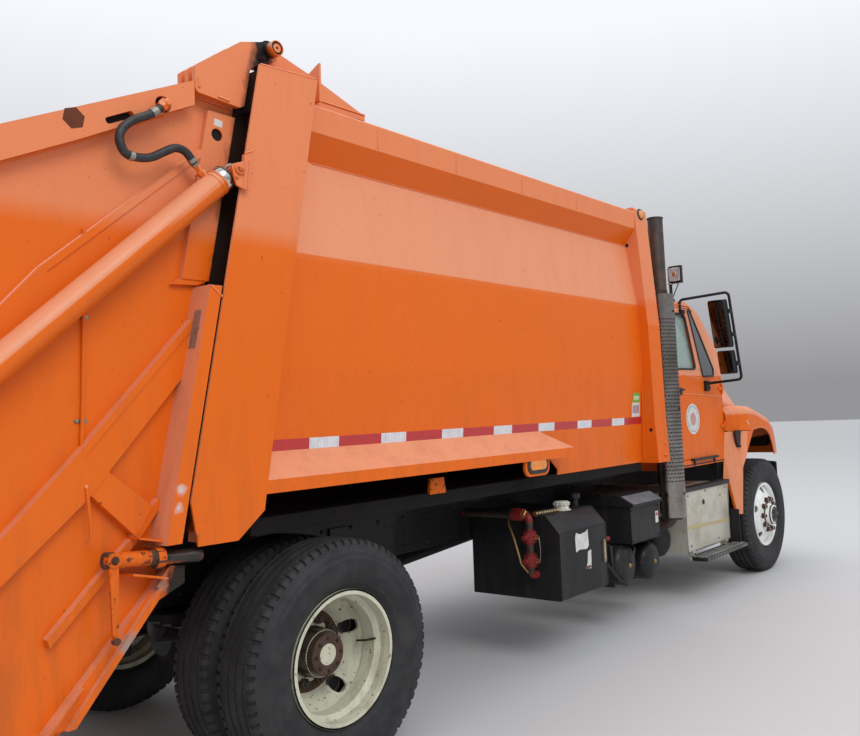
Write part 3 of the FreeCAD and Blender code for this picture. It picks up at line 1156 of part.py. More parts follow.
def packer():
    plate = track_bar(70, 690, -30, 0, -990, 990)
    ribs = [track_bar(90, 680, 0, 60, y - 10, y + 10) for y in (-980, -400, 400, 980)]
    shoes = both(track_bar(60, 690, -48 + FIT, 48 - FIT, 985, GATE_OUT - GATE_PLATE - FIT))
    lugs = []
    for y in (-960.0, -330.0, 330.0, 960.0):
        lug = track_bar(-5, 90, -30, 60, y - 20, y + 20)
        lugs.append(lug.fuse(rod(on_track(0, 0, y - 20), on_track(0, 0, y + 20), 62)))
    pin = rod(on_track(0, 0, -975), on_track(0, 0, 975), SLEEVE_PIN_R)
    push = []
    for y in (PUSH_Y, -PUSH_Y):
        push.append(track_bar(72, 130, -30, PUSH_N + 25, y - 20, y + 20))
        push.append(rod(on_track(100, PUSH_N, y), on_track(885, PUSH_N, y), PUSH_ROD_R))
    s0, n0 = SWEEP_BASE
    carry = []
    for y in (SWEEP_Y, -SWEEP_Y):
        carry += [track_bar(s0 - 40, s0 + 50, 0, n0 + 35, y + dy, y + dy + 15) for dy in (-55, 40)]
    save("packer_carriage", joined([plate, pin] + ribs + shoes + lugs + push + carry))
    blade = []
    for y0, y1 in ((-935, -355), (-305, 305), (355, 935)):
        blade.append(rod(on_track(0, 0, y0), on_track(0, 0, y1), SLEEVE_R))
        blade.append(track_bar(-30, 30, -BLADE_R, -20, y0, y1))
    blade.append(track_bar(-34, 34, -BLADE_R, -90, -1000, 1000))
    tip = crank_point(CRANK)
    e = tip - PIVOT
    e.normalize()
    f = V(-e.z, 0, e.x)
    arm = [PIVOT + f * 40, tip + f * 34 + e * 30, tip - f * 34 + e * 30, PIVOT - f * 40]
    for y in (SWEEP_Y, -SWEEP_Y):
        blade += [side([(p.x, p.z) for p in arm], y + dy, y + dy + 15) for dy in (-52, 37)]
    save("sweep_blade", joined(blade).cut(rod(on_track(0, 0, -1000), on_track(0, 0, 1000),
                                              SLEEVE_PIN_R + FIT)))
    barrels = []
    rods = []
    for y in (SWEEP_Y, -SWEEP_Y):
        base = on_track(s0, n0, y)
        end = tip + V(0, y, 0)
        d = end - base
        length = d.Length
        d.normalize()
        mouth = length - 389
        tube = rod(base + d * 48, base + d * mouth, 44)
        tube = joined([tube, rod(base, base + d * 60, 34), cross_rod(base.x, base.z, y - 40 + FIT,
                                                                     y + 40 - FIT, 38)])
        bore = rod(base + d * 55, base + d * (mouth - 20), 36)
        gland = rod(base + d * (mouth - 30), base + d * (mouth + 10), 24 + FIT)
        barrels.append(tube.cut(bore).cut(gland))
        shaft = rod(base + d * (length - 424), end, 24)
        rods.append(joined([shaft, cross_rod(end.x, end.z, y - 37 + FIT, y + 37 - FIT, 34)]))
    save("sweep_barrels", barrels)
    save("sweep_rods", rods)


def slack(points, r):
    """A flexible hose: straight runs with arcs as large as both neighbouring runs allow."""
    edges = []
    start = points[0]
    for i in range(1, len(points) - 1):
        a = points[i - 1] - points[i]
        b = points[i + 1] - points[i]
        run = 0.45 * min(a.Length, b.Length)
        a.normalize()
        b.normalize()
        half = a.getAngle(b) / 2
        bend = run * math.tan(half)
        mid = a + b
        mid.normalize()
        p0 = points[i] + a * run
        p1 = points[i] + b * run
        edges.append(Part.makeLine(start, p0))
        edges.append(Part.Arc(p0, points[i] + mid * (bend / math.sin(half) - bend), p1).toShape())
        start = p1
    edges.append(Part.makeLine(start, points[-1]))
    path = Part.Wire(edges)
    ring = Part.Wire(Part.makeCircle(r, points[0], points[1] - points[0]))
    return path.makePipeShell([ring], True, False)


def lift_cylinders():
    """The lift cylinders: the barrel's mouth is just behind the rod's ring when the tailgate is shut."""
    eye = V(LIFT_EYE[0], CYL_Y, LIFT_EYE[1])
    base = V(LIFT_BASE[0], CYL_Y, LIFT_BASE[1])
    d = eye - base
    length = d.Length
    d.normalize()
    mouth = length - LIFT_RING_R - CLEAR
    bore_r = TUBE_R - 9
    tube = rod(base + d * 40, base + d * (mouth - 18), TUBE_R)
    gland = rod(base + d * (mouth - 50), base + d * mouth, TUBE_R - 3)
    cap = cross_rod(base.x, base.z, CYL_Y - 36, CYL_Y + 36, 52)
    hollow = rod(base + d * 120, base + d * (mouth - 45), bore_r)
    gland_bore = rod(base + d * (mouth - 60), base + d * (mouth + 10), ROD_R + FIT)
    eye_bore = cross_rod(base.x, base.z, CYL_Y - 60, CYL_Y + 60, LIFT_PIN_R + FIT)
    up = V(-d.z, 0, d.x)
    port_at = base + d * (length - PORT_BACK)
    end = port_at + up * PORT_HIGH
    port = rod(port_at + up * (bore_r + 4), end, HOSE_R - 6)
    boss = rod(port_at + up * (bore_r + 4), port_at + up * (TUBE_R + 12), HOSE_R)
    route = [V(x, CYL_Y, z) for x, z in HOSE] + [end + up * 30, end]
    hose = slack(route, HOSE_R)
    barrel = joined([tube, gland, cap, port, boss]).cut(hollow).cut(gland_bore).cut(eye_bore)
    shaft = rod(base + d * 160, base + d * (length - 10), ROD_R)
    piston = rod(base + d * 140, base + d * 185, bore_r - FIT)
    ring = cross_rod(eye.x, eye.z, CYL_Y - 16, CYL_Y + 16, LIFT_RING_R)
    lift = joined([shaft, piston, ring]).cut(cross_rod(eye.x, eye.z, CYL_Y - 60, CYL_Y + 60,
                                                       LIFT_PIN_R + 2 * FIT))
    for name, make in (("left", lambda s: s), ("right", mirror)):
        save("lift_barrel_" + name, make(barrel))
        save("lift_rod_" + name, make(lift))
        save("lift_hose_" + name, make(hose))


wheels()
chassis()
axles()
engine()
bumper()
cab()
hood()
equipment()
refuse_body()
tailgate()

os.makedirs("parts", exist_ok=True)
for name, piece in PIECES.items():
    piece.translate(V(SHIFT_X, 0, 0))
    piece.exportStep("parts/%s.step" % name)
    if not piece.isValid():
        print("invalid:", name)
print(len(PIECES), "nodes")
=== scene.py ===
# %% [markdown]
# # A rear-loading garbage truck
# The truck's shapes come from a CAD model with real sizes. Here it gets its paint, dirt, tape, lamps,
# bolts, hoses and tyres' tread. Everything is in metres: +X forward, +Y the truck's left, +Z up.

# %% Setup: the CAD model and its box
import json
import math

import bpy
from mathutils import Matrix, Vector


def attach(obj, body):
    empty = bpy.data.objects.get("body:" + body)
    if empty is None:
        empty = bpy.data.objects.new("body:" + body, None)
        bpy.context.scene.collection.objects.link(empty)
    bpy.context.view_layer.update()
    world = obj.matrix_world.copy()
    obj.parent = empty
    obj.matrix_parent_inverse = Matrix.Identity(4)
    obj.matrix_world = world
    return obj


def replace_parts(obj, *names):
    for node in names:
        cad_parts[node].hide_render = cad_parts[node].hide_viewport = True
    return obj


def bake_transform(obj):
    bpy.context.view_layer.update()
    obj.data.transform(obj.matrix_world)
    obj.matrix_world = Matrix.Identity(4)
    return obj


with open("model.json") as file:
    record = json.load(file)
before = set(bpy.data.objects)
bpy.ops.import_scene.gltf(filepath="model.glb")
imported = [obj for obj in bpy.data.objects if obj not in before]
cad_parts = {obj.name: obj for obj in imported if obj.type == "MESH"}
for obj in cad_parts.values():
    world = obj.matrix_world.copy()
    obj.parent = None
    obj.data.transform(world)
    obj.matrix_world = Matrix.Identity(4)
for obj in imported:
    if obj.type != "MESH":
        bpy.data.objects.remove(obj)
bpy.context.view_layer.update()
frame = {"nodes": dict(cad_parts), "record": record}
NODES = frame["nodes"]
X0 = -1.975
AXLE_Z = 0.522


def at(x, y, z):
    """A place measured from the rear axle, as the truck's drawings give it."""
    return Vector((x + X0, y, z))


# %% [markdown]
# ## Camera
# The photo was taken from the truck's right rear, from about eye height, looking a little upward.
# Its place, turn and lens were solved from the truck's known sizes. A small lens shift stands for
# the photo's crop, because a turn would change the way that parallel edges meet.

# %% Camera
EYE = at(-2.678, -4.169, 1.586)
YAW, PITCH, ROLL = math.radians(36.8), math.radians(5.41), 0.04278
ahead = Vector((math.cos(PITCH) * math.cos(YAW), math.cos(PITCH) * math.sin(YAW), math.sin(PITCH)))
level = ahead.cross(Vector((0, 0, 1))).normalized()
upright = level.cross(ahead)
right = level * math.cos(ROLL) - upright * math.sin(ROLL)
up = level * math.sin(ROLL) + upright * math.cos(ROLL)
lens = bpy.data.cameras.new("camera")
camera = bpy.data.objects.new("camera", lens)
bpy.context.scene.collection.objects.link(camera)
camera.matrix_world = Matrix.Translation(EYE) @ Matrix((right, up, -ahead)).transposed().to_4x4()
lens.sensor_width = 36
lens.lens = 35.64
lens.shift_x, lens.shift_y = -0.0909, -0.0423
bpy.context.scene.camera = camera
bpy.context.scene.view_settings.view_transform = "Standard"
print("camera at", [round(c, 3) for c in EYE])

# %% [markdown]
# ## Floor and light
# A pale floor and a pale sky stand in for a studio. The sky is brighter overhead than at the
# horizon, so the walls that lean up look lighter, as in the photo. One large soft lamp lights the
# side that faces the camera, and a weaker one above gives the shade under the rails and the tank.

# %% Floor and light
def lamp(name, place, target, size, power):
    data = bpy.data.lights.new(name, "AREA")
    data.shape = "DISK"
    data.size = size
    data.energy = power
    obj = bpy.data.objects.new(name, data)
    obj.location = place
    obj.rotation_euler = (Vector(target) - Vector(place)).to_track_quat("-Z", "Y").to_euler()
    bpy.context.scene.collection.objects.link(obj)
    return obj


world = bpy.data.worlds.new("studio")
bpy.context.scene.world = world
world.use_nodes = True
sky = world.node_tree.nodes
split = sky.new("ShaderNodeSeparateXYZ")
fall = sky.new("ShaderNodeValToRGB")
world.node_tree.links.new(sky.new("ShaderNodeTexCoord").outputs["Generated"], split.inputs[0])
world.node_tree.links.new(split.outputs["Z"], fall.inputs["Fac"])
world.node_tree.links.new(fall.outputs["Color"], sky["Background"].inputs["Color"])
fall.color_ramp.elements[0].color = (0.3, 0.3, 0.31, 1)
fall.color_ramp.elements[0].position = 0.02
fall.color_ramp.elements[1].color = (0.93, 0.95, 1.0, 1)
fall.color_ramp.elements[1].position = 0.42
lamp("key", (-6, -14, 13), (0, 0, 1.5), 10, 1200)
lamp("top", (2, 3, 15), (0, 0, 1), 12, 450)
bpy.ops.mesh.primitive_plane_add(size=120, location=(0, 0, 0))
floor = bpy.context.object
floor.name = "floor"

# %% [markdown]
# ## Materials
# Each finish is made of noise read in the object's own coordinates, so it stays on the piece when
# the piece moves. Gloss is a number on the shader's own socket.

# %% Material helpers
def material(name, rough=0.5, metal=0.0, coat=0.0):
    mat = bpy.data.materials.new(name)
    mat.use_nodes = True
    tree = mat.node_tree
    shade = tree.nodes["Principled BSDF"]
    shade.inputs["Roughness"].default_value = rough
    shade.inputs["Metallic"].default_value = metal
    shade.inputs["Coat Weight"].default_value = coat
    shade.inputs["Coat Roughness"].default_value = 0.08
    return mat, tree, shade


def link(tree, source, target):
    tree.links.new(source, target)


def place_of(tree, stretch=(1, 1, 1)):
    coord = tree.nodes.new("ShaderNodeTexCoord")
    mapping = tree.nodes.new("ShaderNodeMapping")
    mapping.inputs["Scale"].default_value = stretch
    link(tree, coord.outputs["Object"], mapping.inputs["Vector"])
    return mapping.outputs["Vector"]


def noise(tree, scale, detail=3.0, rough=0.55, stretch=(1, 1, 1)):
    node = tree.nodes.new("ShaderNodeTexNoise")
    node.inputs["Scale"].default_value = scale
    node.inputs["Detail"].default_value = detail
    node.inputs["Roughness"].default_value = rough
    link(tree, place_of(tree, stretch), node.inputs["Vector"])
    return node.outputs["Fac"]


def ramp(tree, value, *stops):
    """A colour ramp; each stop is (position, grey or colour)."""
    node = tree.nodes.new("ShaderNodeValToRGB")
    while len(node.color_ramp.elements) < len(stops):
        node.color_ramp.elements.new(0.5)
    for element, (where, colour) in zip(node.color_ramp.elements, stops):
        element.position = where
        element.color = (*colour, 1) if isinstance(colour, tuple) else (colour, colour, colour, 1)
    link(tree, value, node.inputs["Fac"])
    return node.outputs["Color"]


def mix(tree, share, a, b):
    """Colour a where share is 0 and b where it is 1."""
    node = tree.nodes.new("ShaderNodeMix")
    node.data_type = "RGBA"
    link(tree, share, node.inputs["Factor"])
    for socket, colour in ((node.inputs[6], a), (node.inputs[7], b)):
        if isinstance(colour, tuple):
            socket.default_value = (*colour, 1)
        else:
            link(tree, colour, socket)
    return node.outputs[2]


def axes_of(tree, socket):
    """The X, Y and Z of a vector."""
    split = tree.nodes.new("ShaderNodeSeparateXYZ")
    link(tree, socket, split.inputs[0])
    return split.outputs


def maths(tree, kind, a, b=0, clamp=True):
    node = tree.nodes.new("ShaderNodeMath")
    node.operation = kind
    node.use_clamp = clamp
    for socket, value in ((node.inputs[0], a), (node.inputs[1], b)):
        if isinstance(value, (int, float)):
            socket.default_value = value
        else:
            link(tree, value, socket)
    return node.outputs[0]


def height(tree, low, high):
    """0 at height low, 1 at height high."""
    axes = axes_of(tree, place_of(tree))
    node = tree.nodes.new("ShaderNodeMapRange")
    node.inputs["From Min"].default_value = low
    node.inputs["From Max"].default_value = high
    link(tree, axes["Z"], node.inputs["Value"])
    return node.outputs[0]


def bump(tree, shade, value, strength, distance=0.01):
    node = tree.nodes.new("ShaderNodeBump")
    node.inputs["Strength"].default_value = strength
    node.inputs["Distance"].default_value = distance
    link(tree, value, node.inputs["Height"])
    link(tree, node.outputs["Normal"], shade.inputs["Normal"])


# %% [markdown]
# ### Orange paint
# The truck's paint is a glossy orange. Faces that lean up, and upright faces high on the body, get a
# paler orange: a painted reflection of the sky. Dirt gathers low down and in streaks that run
# downwards, so its noise is stretched along Z. Fine scratches run along X. Rust shows as small dark
# specks with a sharp threshold.

# %% Orange paint
ORANGE = (0.73, 0.13, 0.005)
# A paler orange: a painted reflection of the sky on faces that lean up and high on the walls.
SKY_SHEEN = (0.76, 0.285, 0.145)
DIRT = (0.3, 0.085, 0.025)
RUST = (0.16, 0.045, 0.02)
WORN = (0.36, 0.24, 0.19)
# Near-black: grime, and painted shade in the gap at the rear post.
GRIME_AND_SHADE = (0.02, 0.014, 0.011)
CHALK = (0.62, 0.54, 0.5)
# Where the paint is rubbed off, chalky or black with grime: a place on either side, a radius, a colour.
WEAR = [((-0.78, 1.15, 1.175), 0.075, WORN), ((-0.982, 1.122, 0.811), 0.085, WORN),
        ((-0.8, 1.125, 1.235), 0.075, GRIME_AND_SHADE), ((-0.765, 1.19, 1.15), 0.045, GRIME_AND_SHADE),
        ((-0.87, 1.12, 1.01), 0.07, WORN), ((-0.905, 1.1, 1.14), 0.06, GRIME_AND_SHADE),
        ((-0.553, 1.2, 2.645), 0.05, GRIME_AND_SHADE), ((-1.752, 1.15, 1.533), 0.1, GRIME_AND_SHADE),
        ((-0.815, 1.19, 1.345), 0.04, CHALK), ((-0.822, 1.19, 1.28), 0.034, CHALK),
        ((-1.11, 1.11, 0.9), 0.03, GRIME_AND_SHADE)]


def near(tree, place, radius):
    """1 close to a place, on either side of the truck, with a ragged edge; 0 beyond the radius."""
    axes = axes_of(tree, place_of(tree))
    side = maths(tree, "ABSOLUTE", axes["Y"], clamp=False)
    both = tree.nodes.new("ShaderNodeCombineXYZ")
    link(tree, axes["X"], both.inputs[0])
    link(tree, side, both.inputs[1])
    link(tree, axes["Z"], both.inputs[2])
    away = tree.nodes.new("ShaderNodeVectorMath")
    away.operation = "DISTANCE"
    link(tree, both.outputs[0], away.inputs[0])
    away.inputs[1].default_value = at(*place)
    ragged = maths(tree, "ADD", away.outputs["Value"], maths(tree, "MULTIPLY", noise(tree, 26, 6, 0.7),
                                                             radius * 1.6))
    return ramp(tree, ragged, (radius * 0.95, 1.0), (radius * 1.45, 0.0))


# Between these heights upright faces go from plain orange to the painted sky reflection.
RAIL_LOW, RAIL_HIGH = 2.33, 2.42


def sky_sheen_share(tree):
    """1 on faces that lean up and on the tops of upright ones, which get a painted reflection of the sky."""
    axes = axes_of(tree, tree.nodes.new("ShaderNodeTexCoord").outputs["Normal"])
    leaning = ramp(tree, axes["Z"], (0.05, 0.0), (0.13, 1.0))
    upright = ramp(tree, maths(tree, "ADD", axes["Z"], 0.5), (0.36, 0.0), (0.46, 1.0))
    high = maths(tree, "MULTIPLY", height(tree, RAIL_LOW, RAIL_HIGH), maths(tree, "MULTIPLY", upright, 0.62))
    return maths(tree, "MAXIMUM", leaning, high)


# Where the seam's line meets the ground behind the rear axle, how far ahead of it the dark band of
# painted shade and grime has its middle, and how far the seam moves forward per metre of height.
SEAM_FOOT, DARK_BAND_AHEAD, SEAM_LEAN = 1.01305, 0.045, 0.187


def seam_shade_and_grime(tree):
    """1 in the gap between the body's rear post and the tailgate, ragged: painted shade, with grime."""
    axes = axes_of(tree, place_of(tree))
    along = tree.nodes.new("ShaderNodeVectorMath")
    along.operation = "DOT_PRODUCT"
    link(tree, place_of(tree), along.inputs[0])
    along.inputs[1].default_value = (1, 0, -SEAM_LEAN)
    shifted = maths(tree, "ADD", along.outputs["Value"], SEAM_FOOT - X0 - DARK_BAND_AHEAD, clamp=False)
    past = maths(tree, "ABSOLUTE", shifted, clamp=False)
    edge = maths(tree, "MULTIPLY", noise(tree, 18, 6, 0.7, (1, 1, 0.4)), 0.1)
    close = ramp(tree, maths(tree, "ADD", past, edge), (0.085, 1.0), (0.125, 0.0))
    side = maths(tree, "ABSOLUTE", axes["Y"], clamp=False)
    inward = ramp(tree, maths(tree, "SUBTRACT", side, 0.5), (0.655, 1.0), (0.682, 0.0))
    return maths(tree, "MULTIPLY", close, inward)


def painted(name, colour, dirt, rough=0.32, coat=0.14, dirt_high=1.9, rust=0.7, wear=(), sheen=None):
    mat, tree, shade = material(name, rough, coat=coat)
    shade.inputs["Specular IOR Level"].default_value = 0.18
    paler = tuple(min(1, c * 1.05 + 0.004) for c in colour)
    tone = mix(tree, noise(tree, 1.3, 2), colour, paler)
    # Faces that lean up and high upright faces get the paler orange: a painted reflection of the sky.
    if sheen:
        tone = mix(tree, sky_sheen_share(tree), tone, sheen)
    low = maths(tree, "SUBTRACT", 1.0, height(tree, 0.6, dirt_high))
    streak = ramp(tree, noise(tree, 5, 6, 0.7, (2.2, 2.2, 0.35)), (0.46, 0.0), (0.78, 1.0))
    film = maths(tree, "MULTIPLY", streak, maths(tree, "ADD", maths(tree, "MULTIPLY", low, 0.55), 0.1))
    tone = mix(tree, film, tone, dirt)
    scratch = ramp(tree, noise(tree, 9, 8, 0.85, (0.5, 3, 9)), (0.66, 0.0), (0.74, 0.55))
    tone = mix(tree, maths(tree, "MULTIPLY", scratch, 0.5), tone, dirt)
    speck = ramp(tree, noise(tree, 46, 4, 0.6), (rust, 0.0), (rust + 0.03, 1.0))
    tone = mix(tree, speck, tone, RUST)
    # The recessed faces in the gap at the rear post are darkened: painted shade, with grime.
    if wear:
        tone = mix(tree, seam_shade_and_grime(tree), tone, GRIME_AND_SHADE)
    for place, radius, shown in wear:
        tone = mix(tree, near(tree, place, radius), tone, shown)
    link(tree, tone, shade.inputs["Base Color"])
    dull = ramp(tree, noise(tree, 3, 5, 0.6), (0.3, rough), (0.75, min(1, rough + 0.22)))
    link(tree, dull, shade.inputs["Roughness"])
    bump(tree, shade, noise(tree, 2.2, 2), 0.1, 0.02)
    return mat


orange = painted("orange_paint", ORANGE, DIRT, wear=WEAR, sheen=SKY_SHEEN)
black = painted("black_paint", (0.011, 0.012, 0.014), (0.05, 0.038, 0.028), rough=0.42, coat=0.15, rust=0.68)
rusty_orange = painted("rusty_orange", ORANGE, (0.1, 0.035, 0.018), rough=0.5, coat=0.05, rust=0.56)
white_wheel = painted("white_wheel", (0.86, 0.88, 0.86), (0.2, 0.13, 0.08), rough=0.4, coat=0.1,
                      dirt_high=1.2, rust=0.66)
cream_wheel = painted("cream_wheel", (0.57, 0.57, 0.44), (0.18, 0.11, 0.06), rough=0.45, coat=0.1,
                      dirt_high=1.3, rust=0.64)
red = painted("valve_red", (0.24, 0.016, 0.018), (0.07, 0.035, 0.028), rough=0.45, coat=0.1)
# Near-black paint for the body's floor: painted shade under the body.
underbody_shade = painted("painted_shade_underside", (0.009, 0.008, 0.008), (0.022, 0.015, 0.011), rough=0.8, coat=0.0,
                dirt_high=1.2)
print("paints", [m.name for m in (orange, black, white_wheel, cream_wheel, red)])

# %% [markdown]
# ### Rubber, bare metal, plastic and glass
# Tyre rubber is nearly black with a film of dust. Bare steel is grey with brown rust in patches.
# Aluminium is brighter and rougher. The glass is thin, so it is see-through with a faint green.

# %% Rubber, metal, plastic and glass
def plain(name, colour, other, rough=0.5, metal=0.0, scale=6.0, low=0.4, high=0.7, wave=0.0, coat=0.0):
    """Two tones of one material, in patches."""
    mat, tree, shade = material(name, rough, metal, coat)
    patch = ramp(tree, noise(tree, scale, 6, 0.65), (low, 0.0), (high, 1.0))
    link(tree, mix(tree, patch, colour, other), shade.inputs["Base Color"])
    if wave:
        bump(tree, shade, noise(tree, scale * 12, 3), wave, 0.004)
    return mat


rubber = plain("tyre_rubber", (0.012, 0.0125, 0.014), (0.032, 0.032, 0.033), rough=0.75, scale=9, wave=0.2)
hose_rubber = plain("hose_rubber", (0.01, 0.01, 0.011), (0.03, 0.03, 0.03), rough=0.42, scale=30, wave=0.3)
trim = plain("grey_trim", (0.03, 0.03, 0.032), (0.06, 0.058, 0.055), rough=0.7)
iron = plain("engine_grey", (0.035, 0.035, 0.036), (0.07, 0.05, 0.04), rough=0.7, wave=0.3)
rusty = plain("rusty_steel", (0.1, 0.035, 0.018), (0.045, 0.02, 0.014), rough=0.85, scale=20, wave=0.6)
worn = plain("worn_paint", (0.33, 0.29, 0.27), (0.17, 0.07, 0.045), rough=0.7, scale=9, low=0.42, high=0.6,
             wave=0.3)
aluminium = plain("step_aluminium", (0.42, 0.42, 0.41), (0.2, 0.19, 0.17), rough=0.42, metal=0.85, scale=8)
shield_steel = plain("shield_steel", (0.34, 0.32, 0.3), (0.2, 0.17, 0.15), rough=0.2, metal=1.0, scale=5)
hollow = plain("shaded_orange", (0.13, 0.03, 0.01), (0.08, 0.02, 0.01), rough=0.9)
dark_rust = plain("dark_rust", (0.05, 0.028, 0.02), (0.11, 0.048, 0.026), rough=0.75, scale=26, wave=0.5)
chrome = plain("chrome", (0.62, 0.62, 0.62), (0.45, 0.42, 0.38), rough=0.16, metal=1.0, scale=14)
stack_steel = plain("stack_steel", (0.03, 0.026, 0.024), (0.1, 0.05, 0.034), rough=0.5, scale=12, wave=0.3)
zinc = plain("zinc", (0.42, 0.4, 0.35), (0.22, 0.18, 0.13), rough=0.4, metal=0.9, scale=30)
dark_steel = plain("dark_steel", (0.03, 0.028, 0.027), (0.1, 0.055, 0.035), rough=0.6, metal=0.4, scale=25)
greasy = plain("greasy_steel", (0.018, 0.015, 0.013), (0.05, 0.03, 0.02), rough=0.3, scale=20, coat=0.4)
rust_rim = plain("rust_rim", (0.13, 0.05, 0.025), (0.06, 0.03, 0.02), rough=0.9, scale=40)
worn_edge = plain("worn_edge", (0.3, 0.28, 0.24), (0.14, 0.07, 0.04), rough=0.6, scale=16)
brass = plain("brass", (0.55, 0.36, 0.12), (0.32, 0.2, 0.08), rough=0.35, metal=0.9, scale=30)
# Near-black: painted shade inside holes, slots and grooves; also the black faces of the gauges.
void = plain("dark_opening", (0.006, 0.006, 0.006), (0.012, 0.011, 0.01), rough=0.95)
label = plain("white_label", (0.66, 0.66, 0.63), (0.5, 0.49, 0.45), rough=0.5, scale=20)
plate_metal = plain("plate_metal", (0.33, 0.31, 0.29), (0.22, 0.18, 0.16), rough=0.45, metal=0.6, scale=22)
wiper = plain("wiper_seal", (0.02, 0.02, 0.022), (0.05, 0.05, 0.05), rough=0.5)
rubber_trim = plain("rubber_trim", (0.014, 0.014, 0.015), (0.035, 0.034, 0.032), rough=0.6, scale=24)
amber = plain("amber_lens", (0.8, 0.26, 0.02), (0.66, 0.18, 0.01), rough=0.15, scale=30, coat=0.8)
red_lens = plain("red_lens", (0.42, 0.008, 0.008), (0.3, 0.004, 0.006), rough=0.15, scale=30, coat=0.8)
clear_lens = plain("clear_lens", (0.5, 0.52, 0.54), (0.3, 0.31, 0.32), rough=0.2, scale=18, coat=0.5)
mirror_glass = plain("mirror_glass", (0.2, 0.22, 0.23), (0.18, 0.2, 0.21), rough=0.04, metal=1.0, scale=4)
dark_glass = plain("dark_glass", (0.01, 0.013, 0.014), (0.016, 0.02, 0.02), rough=0.05, scale=4, coat=1.0)
tape_red = plain("tape_red", (0.5, 0.018, 0.02), (0.4, 0.025, 0.022), rough=0.35, scale=24, coat=0.3)
tape_white = plain("tape_white", (0.7, 0.72, 0.76), (0.56, 0.56, 0.58), rough=0.35, scale=24, coat=0.3)
tape_line = plain("tape_line", (0.46, 0.48, 0.52), (0.4, 0.4, 0.42), rough=0.4)
sticker_green = plain("sticker_green", (0.13, 0.42, 0.06), (0.16, 0.38, 0.08), rough=0.4)
sticker_light = plain("sticker_light", (0.52, 0.66, 0.42), (0.46, 0.58, 0.38), rough=0.4)
sticker_blue = plain("sticker_blue", (0.2, 0.26, 0.4), (0.48, 0.36, 0.36), rough=0.4, scale=60)
sticker_pink = plain("sticker_pink", (0.6, 0.3, 0.28), (0.34, 0.22, 0.24), rough=0.4, scale=60)
cap_white = plain("white_cap", (0.66, 0.64, 0.58), (0.4, 0.36, 0.29), rough=0.5, scale=24)
sight_glass = plain("sight_glass", (0.4, 0.33, 0.16), (0.3, 0.24, 0.1), rough=0.1, coat=0.8)
lid_flap = plain("lid_flap", (0.2, 0.21, 0.23), (0.12, 0.12, 0.13), rough=0.45, scale=12)
cream_steel = plain("cream_steel", (0.56, 0.54, 0.46), (0.4, 0.36, 0.27), rough=0.42, metal=0.25, scale=5,
                    low=0.45)
yellow_strip = plain("yellow_strip", (0.5, 0.4, 0.17), (0.42, 0.38, 0.28), rough=0.6, scale=18)
seat_cloth = plain("seat_cloth", (0.045, 0.047, 0.052), (0.07, 0.07, 0.075), rough=0.95, scale=50, wave=0.4)
dash_plastic = plain("dash_plastic", (0.055, 0.052, 0.048), (0.075, 0.072, 0.066), rough=0.75, scale=60,
                     wave=0.3)
glass, _, glass_shade = material("tinted_glass", 0.03)
glass_shade.inputs["Base Color"].default_value = (0.45, 0.6, 0.54, 1)
glass_shade.inputs["Alpha"].default_value = 0.42
glass_shade.inputs["IOR"].default_value = 1.5

SLOT_MATERIAL = {"orange_paint": orange, "black_paint": black, "white_wheel": white_wheel,
                 "cream_wheel": cream_wheel, "valve_red": red, "tyre": rubber, "hose_rubber": hose_rubber,
                 "grey_trim": trim, "engine_grey": iron, "worn_steel": rusty_orange,
                 "shield_chrome": shield_steel, "rod_chrome": chrome, "stack_steel": stack_steel,
                 "tinted_glass": glass, "step_aluminium": cream_steel}
for row in frame["record"]["subparts"]:
    piece = NODES[row["node"]]
    piece.data.materials.clear()
    piece.data.materials.append(SLOT_MATERIAL[row["material_slot"]])
# The body's floor gets the near-black paint: painted shade under the body.
NODES["body_floor"].data.materials[0] = underbody_shade
floor_paint, _, floor_shade = material("floor", 0.85)
floor_shade.inputs["Base Color"].default_value = (0.58, 0.58, 0.58, 1)
floor.data.materials.append(floor_paint)
print("materials on", len(NODES), "nodes")

# %% [markdown]
# ## Building pieces
# Most details are small shapes that repeat: bolts, lamps, ribs, clips. They could be modelled one by
# one, or copied as objects. A Sketch is simpler: it collects shapes in one mesh, each with its own
# finish, in the same rear-axle sizes as the drawings, and then becomes one object on a CAD body.
# flip is -1 for the truck's right side, so that one table of sizes serves both sides.

# %% The sketch
import bmesh

SIDES = (("left", 1), ("right", -1))
BODY = {node: body for body, nodes in frame["record"]["behaviour"]["bodies"].items() for node in nodes}


def tube_mesh(line, radius, sides):
    """The vertices and faces of a closed round tube; radius is a number or one for each place."""
    verts, faces = [], []
    side = None
    for i, place in enumerate(line):
        forward = (line[min(i + 1, len(line) - 1)] - line[max(i - 1, 0)]).normalized()
        if side is None:
            side = forward.orthogonal().normalized()
        side = (side - forward * side.dot(forward)).normalized()
        other = forward.cross(side)
        r = radius[i] if isinstance(radius, list) else radius
        for k in range(sides):
            a = 2 * math.pi * k / sides
            verts.append(place + (side * math.cos(a) + other * math.sin(a)) * r)
    for i in range(len(line) - 1):
        for k in range(sides):
            n = (k + 1) % sides
            faces.append((i * sides + k, i * sides + n, (i + 1) * sides + n, (i + 1) * sides + k))
    faces.append(tuple(reversed(range(sides))))
    faces.append(tuple(range((len(line) - 1) * sides, len(line) * sides)))
    return verts, faces


